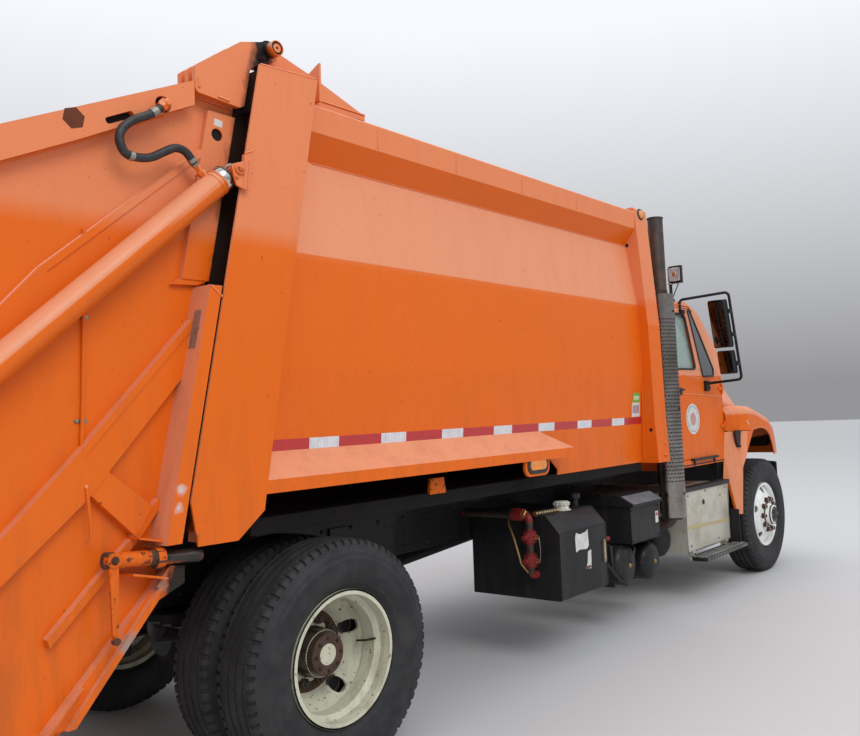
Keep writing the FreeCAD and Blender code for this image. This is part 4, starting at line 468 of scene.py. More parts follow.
class Sketch:
    """Shapes gathered into one mesh. Every shape names its material."""

    def __init__(self, flip=1):
        self.verts, self.faces, self.mats, self.of_face, self.flip = [], [], [], [], flip

    def add(self, verts, faces, mat):
        if mat not in self.mats:
            self.mats.append(mat)
        base = len(self.verts)
        self.verts += [tuple(at(v[0], self.flip * v[1], v[2])) for v in verts]
        self.faces += [tuple(base + i for i in f) for f in faces]
        self.of_face += [self.mats.index(mat)] * len(faces)
        return self

    def prism(self, outline, depth, mat):
        """A flat outline of places, swept by the vector depth."""
        n = len(outline)
        verts = [Vector(p) for p in outline] + [Vector(p) + Vector(depth) for p in outline]
        faces = [tuple(range(n)), tuple(range(2 * n - 1, n - 1, -1))]
        faces += [(i, i + n, (i + 1) % n + n, (i + 1) % n) for i in range(n)]
        return self.add(verts, faces, mat)

    def box(self, x0, x1, y0, y1, z0, z1, mat):
        return self.prism([(x0, y0, z0), (x1, y0, z0), (x1, y1, z0), (x0, y1, z0)], (0, 0, z1 - z0), mat)

    def plate(self, middle, along, over, size, thick, mat, corner=0.0, steps=4):
        """A flat plate with round corners: middle of its back, two directions, (length, width)."""
        along, over = Vector(along).normalized(), Vector(over).normalized()
        half_a, half_b = size[0] / 2, size[1] / 2
        r = min(corner, half_a, half_b)
        outline = []
        for quarter, (sa, sb) in enumerate(((1, 1), (-1, 1), (-1, -1), (1, -1))):
            for k in range(steps + 1 if r else 1):
                a = math.radians(90 * quarter + (90 * k / steps if r else 45))
                outline.append(Vector(middle) + along * (sa * (half_a - r) + r * math.cos(a))
                               + over * (sb * (half_b - r) + r * math.sin(a)))
        return self.prism(outline, along.cross(over) * thick, mat)

    def lathe(self, start, axis, profile, mat, sides=24, ring=False):
        """(distance along axis, radius) points, turned about the axis; a ring's profile is a loop."""
        axis = Vector(axis).normalized()
        side = axis.orthogonal().normalized()
        other = axis.cross(side)
        verts, faces = [], []
        for along, radius in profile:
            for k in range(sides):
                a = 2 * math.pi * k / sides
                verts.append(Vector(start) + axis * along
                             + (side * math.cos(a) + other * math.sin(a)) * max(radius, 1e-4))
        rows = len(profile)
        for i in range(rows if ring else rows - 1):
            j = (i + 1) % rows
            for k in range(sides):
                n = (k + 1) % sides
                faces.append((i * sides + k, i * sides + n, j * sides + n, j * sides + k))
        if not ring:
            faces += [tuple(reversed(range(sides))), tuple(range((rows - 1) * sides, rows * sides))]
        return self.add(verts, faces, mat)

    def rod(self, a, b, radius, mat, sides=12):
        a, b = Vector(a), Vector(b)
        return self.lathe(a, b - a, [(0, radius), ((b - a).length, radius)], mat, sides)

    def bolt(self, place, axis, size, mat, washer=True):
        """A washer, a six-sided head and a short thread end; size is the head's radius."""
        if washer:
            self.lathe(place, axis, [(0, size * 1.25), (size * 0.2, size * 1.25)], mat, 16)
        self.lathe(place, axis, [(size * 0.1, size), (size * 0.8, size), (size * 0.95, size * 0.85)], mat, 6)
        return self.lathe(place, axis, [(size * 0.9, size * 0.5), (size * 1.35, size * 0.45)], mat, 8)

    def pipe(self, line, radius, mat, sides=10):
        verts, faces = tube_mesh([Vector(p) for p in line], radius, sides)
        return self.add(verts, faces, mat)

    def weld(self, line, mat, radius=0.005, pitch=0.007):
        """A weld bead: a thin tube whose ripples repeat along the seam."""
        places, sizes = [], []
        for a, b in zip(line, line[1:]):
            a, b = Vector(a), Vector(b)
            count = max(2, int((b - a).length / pitch))
            for k in range(count + 1):
                places.append(a.lerp(b, k / count))
                sizes.append(radius * (1.0 if k % 2 else 0.72))
        verts, faces = tube_mesh(places, sizes, 6)
        return self.add(verts, faces, mat)

    def arc(self, middle, along, over, radius, start, end, count=10):
        """Places on an arc, for pipes; angles in degrees from along towards over."""
        along, over = Vector(along), Vector(over)
        turn = [math.radians(start + (end - start) * k / count) for k in range(count + 1)]
        return [Vector(middle) + along * radius * math.cos(a) + over * radius * math.sin(a) for a in turn]

    def done(self, name, body, bevel=0.0, sharp=35):
        mesh = bpy.data.meshes.new(name)
        mesh.from_pydata(self.verts, [], self.faces)
        for mat in self.mats:
            mesh.materials.append(mat)
        mesh.polygons.foreach_set("material_index", self.of_face)
        work = bmesh.new()
        work.from_mesh(mesh)
        bmesh.ops.recalc_face_normals(work, faces=work.faces)
        work.to_mesh(mesh)
        work.free()
        mesh.shade_smooth()
        mesh.set_sharp_from_angle(angle=math.radians(sharp))
        obj = bpy.data.objects.new(name, mesh)
        bpy.context.scene.collection.objects.link(obj)
        if bevel:
            edge = obj.modifiers.new("edge", "BEVEL")
            edge.width = bevel
            edge.segments = 2
            edge.limit_method = "ANGLE"
            edge.angle_limit = math.radians(40)
        if body:
            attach(obj, body)
        print(name, "on", body, len(mesh.polygons), "faces")
        return obj


# %% [markdown]
# ## The lift hoses
# A rubber hose carries oil from the tailgate's top beam to each lift cylinder. It is held by a
# fitting at both ends and hangs in one loose S between them. A smooth NURBS line through the
# route gives its middle, and a round section along it gives the tube. Three zinc clips sit on it.
# The real hose bends a little as the cylinder turns; this one is fixed and rides on no body.

# %% Lift hoses
HOSE_ROUTE = [(-0.866, 2.842), (-0.9, 2.806), (-0.985, 2.764), (-1.042, 2.698), (-1.02, 2.622),
              (-0.96, 2.618), (-0.905, 2.63), (-0.85, 2.668), (-0.8, 2.698), (-0.757, 2.69),
              (-0.73885, 2.6704), (-0.71845, 2.6484)]
HOSE_R = 0.017
CYLINDER_Y = 1.146


def nurbs(points):
    """A smooth line's vertices, read from a NURBS spline with no bevel."""
    curve = bpy.data.curves.new("route", "CURVE")
    curve.dimensions = "3D"
    spline = curve.splines.new("NURBS")
    spline.points.add(len(points) - 1)
    for point, place in zip(spline.points, points):
        point.co = (*place, 1)
    spline.order_u = 3
    spline.use_endpoint_u = True
    spline.resolution_u = 12
    holder = bpy.data.objects.new("route", curve)
    bpy.context.scene.collection.objects.link(holder)
    line = bpy.data.meshes.new_from_object(holder.evaluated_get(bpy.context.evaluated_depsgraph_get()))
    places = [v.co.copy() for v in line.vertices]
    bpy.data.objects.remove(holder)
    return places


for hand, flip in SIDES:
    middle = nurbs([Vector((x, CYLINDER_Y, z)) for x, z in HOSE_ROUTE])
    lift_hose = Sketch(flip)
    lift_hose.pipe(middle, HOSE_R, hose_rubber, 16)
    for place in ((-0.875, 2.824), (-0.996, 2.623), (-0.727, 2.653)):
        spot = at(place[0], CYLINDER_Y, place[1])
        clip = min(range(len(middle) - 5), key=lambda i: (at(*middle[i]) - spot).length)
        lift_hose.pipe(middle[clip:clip + 5], HOSE_R + 0.002, zinc, 16)
    hose = lift_hose.done("lift_hose_cover_" + hand, None)
    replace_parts(hose, "lift_hose_" + hand)
    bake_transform(hose)
    line = [at(place.x, flip * place.y, place.z) for place in middle]
    long = sum((b - a).length for a, b in zip(line, line[1:]))
    print("hose", hand, round(long, 3), "m", len(middle), "points")

# %% [markdown]
# ## Tyres
# The CAD tyre has the right size but a bare surface. A displaced texture would blur the tread, so
# the tyre is rebuilt from its section: bead, side wall with fine rings, shoulder, and a tread with
# four grooves. The section is turned round the axle in 68 pitches; each pitch has a pressed-in
# notch at both shoulders. There is no lettering on the walls.

# %% The tyre's section and its turning
WALL = [(0.288, 0.098), (0.3, 0.0985), (0.31, 0.108), (0.322, 0.1195), (0.327, 0.1245), (0.333, 0.125),
        (0.336, 0.1272), (0.368, 0.1355), (0.398, 0.1394), (0.424, 0.1386), (0.428, 0.1399), (0.434, 0.1394),
        (0.437, 0.1371), (0.455, 0.1333), (0.459, 0.134), (0.465, 0.1325), (0.468, 0.1295), (0.481, 0.125),
        (0.494, 0.1212)]
SHOULDER = [(0.503, 0.1185), (0.512, 0.113), (0.5175, 0.105), (0.5195, 0.095)]
TREAD = [(0.5205, 0.078), (0.5085, 0.0745), (0.5085, 0.069), (0.521, 0.0655), (0.522, 0.03),
         (0.5095, 0.027), (0.5095, 0.0215), (0.522, 0.0185)]
PITCHES = 68
FRACTIONS = (0.0, 0.28, 0.34, 0.94)


def tyre_mesh(sketch, x, y, mat):
    half = [(r, w, 0.0) for r, w in WALL] + [(r, w, 1.0) for r,
                                             w in SHOULDER] + [(r, w, 0.0) for r, w in TREAD]
    section = half + [(r, -w, notch) for r, w, notch in reversed(half)]
    columns = [((p + f) / PITCHES, k < 2) for p in range(PITCHES) for k, f in enumerate(FRACTIONS)]
    verts = []
    for turn, in_notch in columns:
        a = 2 * math.pi * turn
        for r, w, notch in section:
            deep = 0.0075 * notch if in_notch else 0.0
            wide = w - math.copysign(deep, w) if notch else w
            verts.append((x + (r - deep) * math.cos(a), y + wide, AXLE_Z + (r - deep) * math.sin(a)))
    n, m = len(columns), len(section)
    faces = [(i * m + j, i * m + (j + 1) % m, (i + 1) % n * m + (j + 1) % m, (i + 1) % n * m + j)
             for i in range(n) for j in range(m)]
    sketch.add(verts, faces, mat)


for hand, flip in SIDES:
    for node, x, places in (("rear_tyres_", 0.0, (1.07, 0.752)), ("front_tyre_", 5.34, (1.022,))):
        tyres = Sketch(flip)
        for y in places:
            tyre_mesh(tyres, x, y, rubber)
        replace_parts(tyres.done(node + "tread_" + hand, BODY[node + hand], sharp=32), node + hand)

# %% [markdown]
# ### Nuts, hubs and rims
# Ten flanged nuts hold each wheel. They could be one ring of cylinders, but a real nut has a round
# flange, six flats and a stud through it, so `bolt` makes each from three lathed shapes. The hub's
# cap, its small screws, the valve and the bright worn edge of the rim are lathed as well.

# %% Nuts, hubs and rims
def ring_of(count, radius, x, y, z=AXLE_Z, start=0.0):
    return [Vector((x + radius * math.cos(a), y, z + radius * math.sin(a)))
            for a in (start + 2 * math.pi * k / count for k in range(count))]


for hand, flip in SIDES:
    out = (0, 1, 0)
    rear = Sketch(flip)
    for place in ring_of(10, 0.142, 0.0, 0.925):
        rear.lathe(place, out, [(0, 0.027), (0.005, 0.027), (0.008, 0.023)], dark_rust, 16)
        rear.lathe(place, out, [(0.006, 0.0235), (0.03, 0.0235), (0.033, 0.02)], dark_rust, 6)
        rear.lathe(place, out, [(0.03, 0.0152), (0.044, 0.0152), (0.047, 0.012)], dark_steel, 10)
    rear.lathe((0, 0.9232, AXLE_Z), out, [(0, 0.187), (0.001, 0.187), (0.001, 0.1), (0, 0.1)], dark_rust, 64,
               ring=True)
    rear.lathe((0, 0.925, AXLE_Z), out, [(0, 0.1425), (0.006, 0.1425), (0.01, 0.1145), (0.1, 0.107),
                                         (0.128, 0.092)], greasy, 48)
    rear.lathe((0, 1.05, AXLE_Z), out, [(0, 0.092), (0.01, 0.093), (0.015, 0.088), (0.016, 0.052),
                                        (0.01, 0.046), (0.01, 0.0)], dark_rust, 40)
    for place in ring_of(8, 0.072, 0.0, 1.0645):
        rear.bolt(place, out, 0.0085, dark_steel, washer=False)
    rear.pipe([(0.232, 1.0, AXLE_Z), (0.236, 1.06, 0.53), (0.24, 1.12, 0.545)], 0.0055, dark_steel, 8)
    rear.lathe((0, 1.1798, AXLE_Z), out, [(0, 0.2992), (0.0022, 0.2992), (0.0022, 0.2905), (0, 0.2905)],
               worn_edge, 96, ring=True)
    size = 0.0405
    for place in ring_of(5, 0.225, 0.0, 0.9375, start=2 * math.pi * 0.05):
        rear.lathe(place, out, [(-0.006, size - 0.007), (0.003, size - 0.007), (0.0035, size),
                                (-0.006, size)], dark_rust, 24, ring=True)
        # A dark disc in each hand hole: painted shade.
        rear.lathe(place - Vector((0, 0.004, 0)), out, [(0, 0.0338), (0.001, 0.0338)], void, 24)
    rear.done("rear_wheel_details_" + hand, BODY["rear_wheels_" + hand])

    front = Sketch(flip)
    for place in ring_of(10, 0.142, 5.34, 1.156):
        front.lathe(place, out, [(0, 0.026), (0.005, 0.026), (0.008, 0.022)], rusty, 16)
        front.lathe(place, out, [(0.006, 0.0225), (0.028, 0.0225), (0.031, 0.019)], rusty, 6)
        front.lathe(place, out, [(0.028, 0.0152), (0.04, 0.0152), (0.043, 0.012)], dark_steel, 10)
    front.lathe((5.34, 1.158, AXLE_Z), out, [(0, 0.116), (0.01, 0.112), (0.014, 0.1), (0.052, 0.089),
                                             (0.056, 0.0885)], dark_rust, 40)
    front.lathe((5.34, 1.214, AXLE_Z), out, [(0, 0.072), (0.007, 0.072), (0.011, 0.06), (0.013, 0.03),
                                             (0.018, 0.026), (0.0185, 0.0)], dark_steel, 36)
    for place in ring_of(6, 0.063, 5.34, 1.221):
        front.bolt(place, out, 0.0075, zinc, washer=False)
    front.lathe((5.34, 1.1318, AXLE_Z), out, [(0, 0.2992), (0.0022, 0.2992), (0.0022, 0.2905), (0, 0.2905)],
                worn_edge, 96, ring=True)
    front.pipe([(5.56, 1.06, 0.6), (5.566, 1.11, 0.602), (5.57, 1.142, 0.603)], 0.0055, dark_steel, 8)
    front.done("front_wheel_details_" + hand, BODY["front_wheel_" + hand])

# %% [markdown]
# ## The tailgate's side
# The CAD part already has the ribs, the columns and the beam. What is missing is how they were
# fastened: weld beads along their edges, the hinge pin's end with its keeper bolt, the fittings of
# the hydraulic hose and the small plates. Welds are thin rippled tubes, because a bump in the paint
# would not break up the edge's outline.

# %% Welds, plates and the hinge pin on the tailgate
def seam_x(z):
    """The rear edge of the body's rear post at height z."""
    return -0.424 - 0.187 * (3.15 - z)


for hand, flip in SIDES:
    y = 1.062
    out = (0, 1, 0)
    gate = Sketch(flip)
    gate.weld([(-0.7, y, 2.5), (-1.15, y, 2.068), (-1.64, y, 1.4)], orange, 0.004)
    gate.weld([(-0.631, y, 2.751), (-1.29, y, 2.168), (-1.7, y, 1.69)], orange, 0.004)
    gate.weld([(-0.76, y, 1.775), (-1.123, y, 1.343), (-1.5, y, 1.01)], orange, 0.006)
    gate.weld([(-0.8, y, 2.85), (-1.183, y, 2.641), (-2.06, y, 2.188)], orange, 0.006)
    gate.weld([(-0.482, 1.076, 2.966), (-0.482, 1.076, 3.08)], orange, 0.006)
    gate.weld([(-0.683, 1.131, 3.028), (-0.683, 1.131, 2.981)], orange, 0.007)
    gate.weld([(-0.595, 1.131, 2.968), (-0.538, 1.131, 2.963)], orange, 0.007)
    gate.weld([(seam_x(2.15) - 0.066, 1.19, 2.146), (seam_x(2.15) - 0.014, 1.19, 2.104)], orange, 0.005)
    gate.weld([(-0.759, 1.123, 1.046), (-0.822, 1.123, 1.056), (-0.872, 1.123, 0.989)], orange, 0.005)
    pin = Vector((-0.327, 1.186, 3.251))
    gate.lathe(pin, out, [(-0.05, 0.0345), (0.004, 0.0345), (0.005, 0.031), (0.0, 0.029)], orange, 32)
    # The dark ring and the dark dot on the pin's end are painted shade in its groove and its hole.
    gate.lathe(pin, out, [(0.0, 0.0285), (0.0012, 0.0285), (0.0012, 0.0235), (0.0, 0.0235)], void, 32,
               ring=True)
    gate.lathe(pin, out, [(0.0, 0.021), (0.003, 0.02), (0.003, 0.0)], orange, 24)
    gate.lathe(pin, out, [(0.0, 0.006), (0.0036, 0.006)], void, 12)
    gate.plate((-0.352, 1.131, 3.208), (0.6, 0, -0.8), (0.8, 0, 0.6), (0.036, 0.062), -0.006, orange, 0.008)
    gate.bolt((-0.366, 1.136, 3.202), out, 0.01, orange)
    if hand == "right":
        gate.plate((-0.5645, 1.0868, 2.87), (1, 0, -0.1), (0.1, 0, 1), (0.04, 0.03), -0.0006, label, 0.003)
    for x, z, lean in ((-0.857, 2.8518, 0), (-0.8535, 2.8552, 0)):
        gate.lathe((x, CYLINDER_Y, z), (-0.69, 0, -0.72), [(0, 0.0225), (0.011, 0.0225)], orange, 6)
    gate.lathe((-0.841, 1.124, 2.868), out, [(0, 0.024), (0.01, 0.024), (0.012, 0.019)], orange, 6)
    gate.lathe((-0.841, CYLINDER_Y, 2.868), out, [(-0.02, 0.016), (0.012, 0.0155), (0.018, 0.01)], orange, 20)
    hexagon = [(-1.195 + 0.043 * math.cos(a), 1.1238, 2.722 + 0.043 * math.sin(a))
               for a in (math.radians(60 * k + 20) for k in range(6))]
    gate.prism(hexagon, (0, 0.0008, 0), hollow)
    beam_way, beam_up = Vector((0.886, 0, 0.464)), Vector((-0.464, 0, 0.886))
    # Dark plates behind the beam's slot and round holes: painted shade.
    gate.plate((-1.02, 1.056, 2.769), beam_way, beam_up, (0.12, 0.023), -0.04, void, 0.011)
    for x, z, r, deep in ((-0.841, 2.868, 0.0335, 0.04), (-0.571, 2.817, 0.0265, 0.018)):
        gate.lathe((x, 1.056, z), out, [(0, r), (deep, r)], void, 28)
    gate.pipe([(-1.128, 1.07, 2.33), (-1.13, 1.07, 1.7), (-1.137, 1.07, 1.42)], 0.0065, orange, 8)
    gate.pipe([(-1.137, 1.07, 1.42), (-1.133, 1.108, 1.38), (-1.12, 1.11, 1.24), (-1.118, 1.109, 1.195)],
              0.0065, orange, 8)
    gate.lathe((-1.1395, 1.062, 1.404), out, [(0, 0.017), (0.014, 0.017), (0.016, 0.012), (0.024, 0.012)],
               brass, 6)
    for x, z in ((-1.131, 2.0), (-1.134, 1.62)):
        gate.plate((x, 1.0605, z), (1, 0, 0), (0, 0, 1), (0.046, 0.014), -0.003, zinc, 0.006)
        gate.bolt((x - 0.015, 1.063, z), out, 0.005, zinc)
    root = Vector((-1.752, CYLINDER_Y, 1.533))
    gate.lathe(root, out, [(0.044, 0.037), (0.05, 0.037), (0.052, 0.033)], orange, 28)
    for a in (30, 150, 270):
        turn = math.radians(a)
        gate.bolt(root + Vector((0.021 * math.cos(turn), 0.051, 0.021 * math.sin(turn))), out, 0.0055,
                  dark_steel)
    gate.done("gate_fittings_" + hand, "tailgate")

# %% [markdown]
# The plate on the column's rearward face is a riveted grey metal plate with nothing on it. It lies
# on a folded face that leans, so its place comes from the column's own edge. The photo shows it on
# the right column, so the left one has none.

# %% The blank plate
def column_face(z, y):
    """A place on the rearward face of the tailgate's lower column."""
    return Vector((seam_x(z) - 0.012 - 0.054 - 0.009 * (2.15 - z), y, z))


marks = Sketch(-1)
low, high = column_face(1.895, 1.1), column_face(2.045, 1.1)
rise = (high - low).normalized()
middle = column_face(1.972, 1.133) - Vector((0.0005, 0, 0))
marks.plate(middle, (0, 1, 0), rise, (0.046, 0.158), -0.0016, plate_metal, 0.004)
for dy in (-0.018, 0.018):
    for dz in (-0.073, 0.073):
        marks.lathe(middle + Vector((-0.0016, dy, 0)) + rise * dz, (-1, 0, 0),
                    [(0, 0.0034), (0.0012, 0.003), (0.0022, 0.001)], zinc, 10)
marks.done("gate_plate", "tailgate")

# %% [markdown]
# ## The lift cylinders
# A silver gland closes the barrel and the rod's eye turns on a pin in a welded bracket. The pipe's
# nuts are six-sided. All of it moves with the barrel, so it rides on the barrel's body.

# %% Lift cylinder fittings
BASE, EYE_END = Vector((-1.752, 1.146, 1.533)), Vector((-0.553, 1.146, 2.645))
ALONG = (EYE_END - BASE).normalized()
UPWARD = Vector((-ALONG.z, 0, ALONG.x))
LIFT_LONG = (EYE_END - BASE).length
for hand, flip in SIDES:
    ram = Sketch(flip)
    mouth = LIFT_LONG - 0.039
    ram.lathe(BASE + ALONG * (mouth - 0.0385), ALONG, [(0, 0.0552), (0.002, 0.0562), (0.027, 0.0562),
                                                       (0.029, 0.0545)], chrome, 48)
    ram.lathe(BASE + ALONG * (mouth - 0.01), ALONG, [(0, 0.054), (0.009, 0.0535), (0.01, 0.03)], wiper, 48)
    for k, dist in enumerate((mouth - 0.046, mouth - 0.068)):
        ring = [BASE + ALONG * dist + UPWARD * 0.0555 * math.cos(a) + Vector((0, 0.0555 * math.sin(a), 0))
                for a in (2 * math.pi * j / 72 for j in range(73))]
        ram.pipe(ring, 0.0022 if k else 0.003, orange, 6)
    port = BASE + ALONG * (LIFT_LONG - 0.119)
    ram.lathe(port + UPWARD * 0.062, UPWARD, [(0, 0.02), (0.014, 0.02), (0.016, 0.016)], orange, 6)
    ram.lathe(port + UPWARD * 0.093, UPWARD, [(0, 0.0135), (0.013, 0.0135)], orange, 6)
    ram.lathe(port + UPWARD * 0.104, UPWARD, [(0, 0.0165), (0.009, 0.0165), (0.01, 0.013)], zinc, 6)
    for angle in (0, 180):
        lean = math.radians(angle)
        axis = UPWARD * math.cos(lean)
        ram.lathe(BASE + axis * 0.05, axis, [(0, 0.006), (0.005, 0.006), (0.009, 0.004), (0.012, 0.004)],
                  brass, 8)
    ram.weld([BASE + ALONG * 0.052 + UPWARD * 0.0545 * math.cos(a) + Vector((0, 0.0545 * math.sin(a), 0))
              for a in (2 * math.pi * j / 24 for j in range(25))], orange, 0.004)
    ram.done("lift_barrel_fittings_" + hand, BODY["lift_barrel_" + hand])

# %% [markdown]
# ## Posts, bracket and seams of the body
# The rear post carries the rod's bracket and the hinge lug, both welded. The front post has a
# round amber lamp in a black ring, two drain holes and a bolt. These are small raised shapes;
# the holes are dark discs of painted shade, because nothing can be seen in them.

# %% Posts and bracket
for hand, flip in SIDES:
    out = (0, 1, 0)
    post = Sketch(flip)
    post.weld([(-0.418, 1.187, 3.148), (-0.104, 1.187, 3.172)], orange, 0.0065)
    post.weld([(-0.33, 1.087, 3.158), (-0.11, 1.087, 3.17)], orange, 0.006)
    post.weld([(0.01, 1.087, 3.125), (0.296, 1.087, 3.128)], orange, 0.006)
    post.weld([(-0.476, 1.192, 2.736), (-0.504, 1.192, 2.576)], orange, 0.0065)
    post.weld([(-0.519, 1.206, 2.722), (-0.479, 1.206, 2.741)], orange, 0.0055)
    post.weld([(-0.522, 1.217, 2.687), (-0.536, 1.217, 2.566)], orange, 0.0045)
    post.weld([(-0.502, 1.217, 2.695), (-0.514, 1.217, 2.564)], orange, 0.0045)
    post.lathe((-0.5535, 1.216, 2.645), out, [(0, 0.027), (0.003, 0.027), (0.0035, 0.024)], orange, 28)
    post.bolt((-0.5535, 1.224, 2.645), out, 0.015, orange)
    post.bolt((-0.566, 1.216, 2.607), out, 0.008, orange)
    post.weld([(-0.035, 1.0, 3.104), (-0.035, 1.128, 3.104)], orange, 0.005)
    lamp_at = Vector((3.182, 1.1135, 3.075))
    axis = (0, 1, 0.07)
    post.lathe(lamp_at, axis, [(-0.004, 0.045), (0.006, 0.045), (0.01, 0.041), (0.01, 0.034)], rubber_trim,
               36)
    post.lathe(lamp_at, axis, [(0.004, 0.0345), (0.011, 0.033), (0.015, 0.026), (0.017, 0.012)], amber, 36)
    # The drain holes are dark discs: painted shade.
    for place, size in (((3.0895, 1.151, 1.41), 0.012), ((3.0895, 1.036, 2.83), 0.013)):
        post.lathe(place, (-1, 0, 0), [(0, size + 0.002), (0.0006, size + 0.002)], rust_rim, 20)
        post.lathe(place, (-1, 0, 0), [(0, size), (0.001, size)], void, 20)
    post.bolt((3.208, 1.1975, 1.216), out, 0.014, orange)
    post.bolt((3.208, 1.1935, 1.3), out, 0.009, orange)
    post.weld([(3.092, 1.184, 1.51), (3.092, 1.174, 2.21)], orange, 0.0035)
    post.weld([(3.088, 1.078, 1.18), (3.088, 1.1, 1.82), (3.088, 1.092, 2.36), (3.088, 1.018, 2.825)], orange,
              0.0045)
    for x in (0.36, 0.98, 1.62, 2.26):
        post.weld([(x, 1.1125, 2.96), (x, 1.1135, 3.076)], orange, 0.003)
    post.weld([(0.0, 1.017, 2.829), (3.085, 1.017, 2.829)], orange, 0.004, 0.012)
    post.weld([(-0.23, 1.069, 1.4665), (1.95, 1.069, 1.4665)], orange, 0.004, 0.012)
    post.done("post_fittings_" + hand, "root")

# %% [markdown]
# ## Reflective tape and stickers
# The tape is real road tape: 51 mm high, 279 mm of red and 178 mm of white, over and over, along
# both walls. It is 0.5 mm proud of the sheet, so it catches its own light. The two stickers in
# front of it stay blank: coloured fields on white and no words. They are on the right side alone,
# because that is the side that the photo shows.

# %% Tape and stickers
def wall_y(z):
    """The half width of the body's lower wall at height z."""
    return 1.05 + 0.05 * (z - 1.17) / 0.65


def on_wall(sketch, x0, x1, z0, z1, mat, proud=0.0006):
    sketch.prism([(x0, wall_y(z0), z0), (x1, wall_y(z0), z0), (x1, wall_y(z1), z1), (x0, wall_y(z1), z1)],
                 (0, proud, 0), mat)


for hand, flip in SIDES:
    tape = Sketch(flip)
    first, step, white_long = -0.095, 0.4572, 0.178
    edges = [-0.3]
    for k in range(7):
        edges += [first + step * k, first + step * k + white_long]
    edges.append(3.088)
    for k, (a, b) in enumerate(zip(edges, edges[1:])):
        on_wall(tape, a, b, 1.4582, 1.509, tape_white if k % 2 else tape_red)
        if k % 2:
            for j in range(9):
                x = a + (j + 0.5) * (b - a) / 9
                on_wall(tape, x - 0.0008, x + 0.0008, 1.459, 1.5082, tape_line, 0.0008)
    if hand == "right":
        on_wall(tape, 2.952, 3.06, 1.622, 1.69, sticker_green)
        on_wall(tape, 2.966, 3.046, 1.64, 1.668, sticker_light, 0.001)
        on_wall(tape, 2.94, 3.06, 1.513, 1.618, label)
        on_wall(tape, 2.952, 3.048, 1.54, 1.598, sticker_blue, 0.001)
        on_wall(tape, 2.975, 3.02, 1.548, 1.59, sticker_pink, 0.0013)
    tape.done("tape_and_stickers_" + hand, "root")

# %% [markdown]
# ## Shelf lamp and roof
# A long amber lamp in a thick rubber ring hangs below the shelf over the rear wheels. On the roof,
# rolled seams and low bolts show how the sheets meet.

# %% Shelf lamp and roof
for hand, flip in SIDES:
    shelf = Sketch(flip)
    for long, tall, thick, mat in ((0.21, 0.104, 0.007, rubber_trim), (0.164, 0.06, 0.01, amber)):
        shelf.plate((1.559, 1.1785, 1.265), (1, 0, 0), (0, 0, 1), (long, tall), -thick, mat, tall * 0.42, 6)
    shelf.plate((1.559, 1.16, 1.268), (1, 0, 0), (0, 0, 1), (0.25, 0.14), -0.018, orange, 0.05, 6)
    for x in (1.54, 1.66):
        shelf.bolt((x, 1.181, 1.305), (0, 1, 0), 0.006, zinc)
    shelf.prism([(0.735, 1.03, 1.166), (0.865, 1.03, 1.166), (0.85, 1.03, 1.25), (0.745, 1.03, 1.25)],
                (0, 0.02, 0), rusty_orange)
    shelf.pipe([(1.56, 1.12, 1.3), (1.35, 1.15, 1.296), (0.6, 1.16, 1.296), (-0.2, 1.16, 1.296)],
               0.006, rubber_trim, 8)
    shelf.done("shelf_fittings_" + hand, "root")
top = Sketch()
for x in (0.28, 0.76, 1.24, 1.72, 2.2, 2.68):
    for y0, z0, y1, z1 in ((-0.955, 3.069, 0.0, 3.1), (0.0, 3.1, 0.955, 3.069)):
        top.weld([(x, y0, z0), (x, y1, z1)], orange, 0.005, 0.02)
for y, z in ((-0.955, 3.071), (0.955, 3.071)):
    top.weld([(-0.09, y, z), (3.085, y, z)], orange, 0.006, 0.02)
for y in (-0.6, 0.0, 0.6):
    top.lathe((3.185, y, 3.118), (0, 0, 1), [(0, 0.03), (0.004, 0.03), (0.004, 0.024), (0.016, 0.02),
                                             (0.018, 0.01)], amber, 20)
for x, y in ((0.6, 0.7), (0.6, -0.7), (2.6, 0.7), (2.6, -0.7)):
    top.pipe(top.arc((x, y, 3.075), (1, 0, 0), (0, 0, 1), 0.045, 0, 180), 0.008, orange)
top.done("roof_seams", "root")

# %% [markdown]
# ## The cab's side
# The door window has a rubber seal, and an orange pillar parts it from the dark glass that wraps
# round the cab's front corner. The seals could be painted on, but a raised rubber edge catches a
# thin light, so each is a tube that follows the outline on the leaning upper wall. The door's round
# sticker is blank too, and on the right side alone.

# %% Door, wrap glass, handle and lamps
CREASES = (((4.025, 1.841), (4.336, 1.807)), ((4.022, 1.68), (4.46, 1.661), (4.795, 1.646)))


def cab_y(z):
    """The cab's half width at height z: it leans in above the belt."""
    return 1.0 - 0.095 * max(0.0, z - 1.835) / 0.715


def rounded(corners, radius, steps=5):
    """An outline whose corners are rounded by a short curve."""
    line = []
    for i, place in enumerate(corners):
        here = Vector(place)
        before, after = Vector(corners[i - 1]), Vector(corners[(i + 1) % len(corners)])
        start = here + (before - here).normalized() * radius
        end = here + (after - here).normalized() * radius
        for k in range(steps + 1):
            t = k / steps
            line.append(start * (1 - t) ** 2 + here * 2 * t * (1 - t) + end * t ** 2)
    return line


def on_cab(outline, proud):
    """Places of an (x, z) outline on the cab's side, proud of it."""
    return [(p[0], cab_y(p[1]) + proud, p[1]) for p in outline]


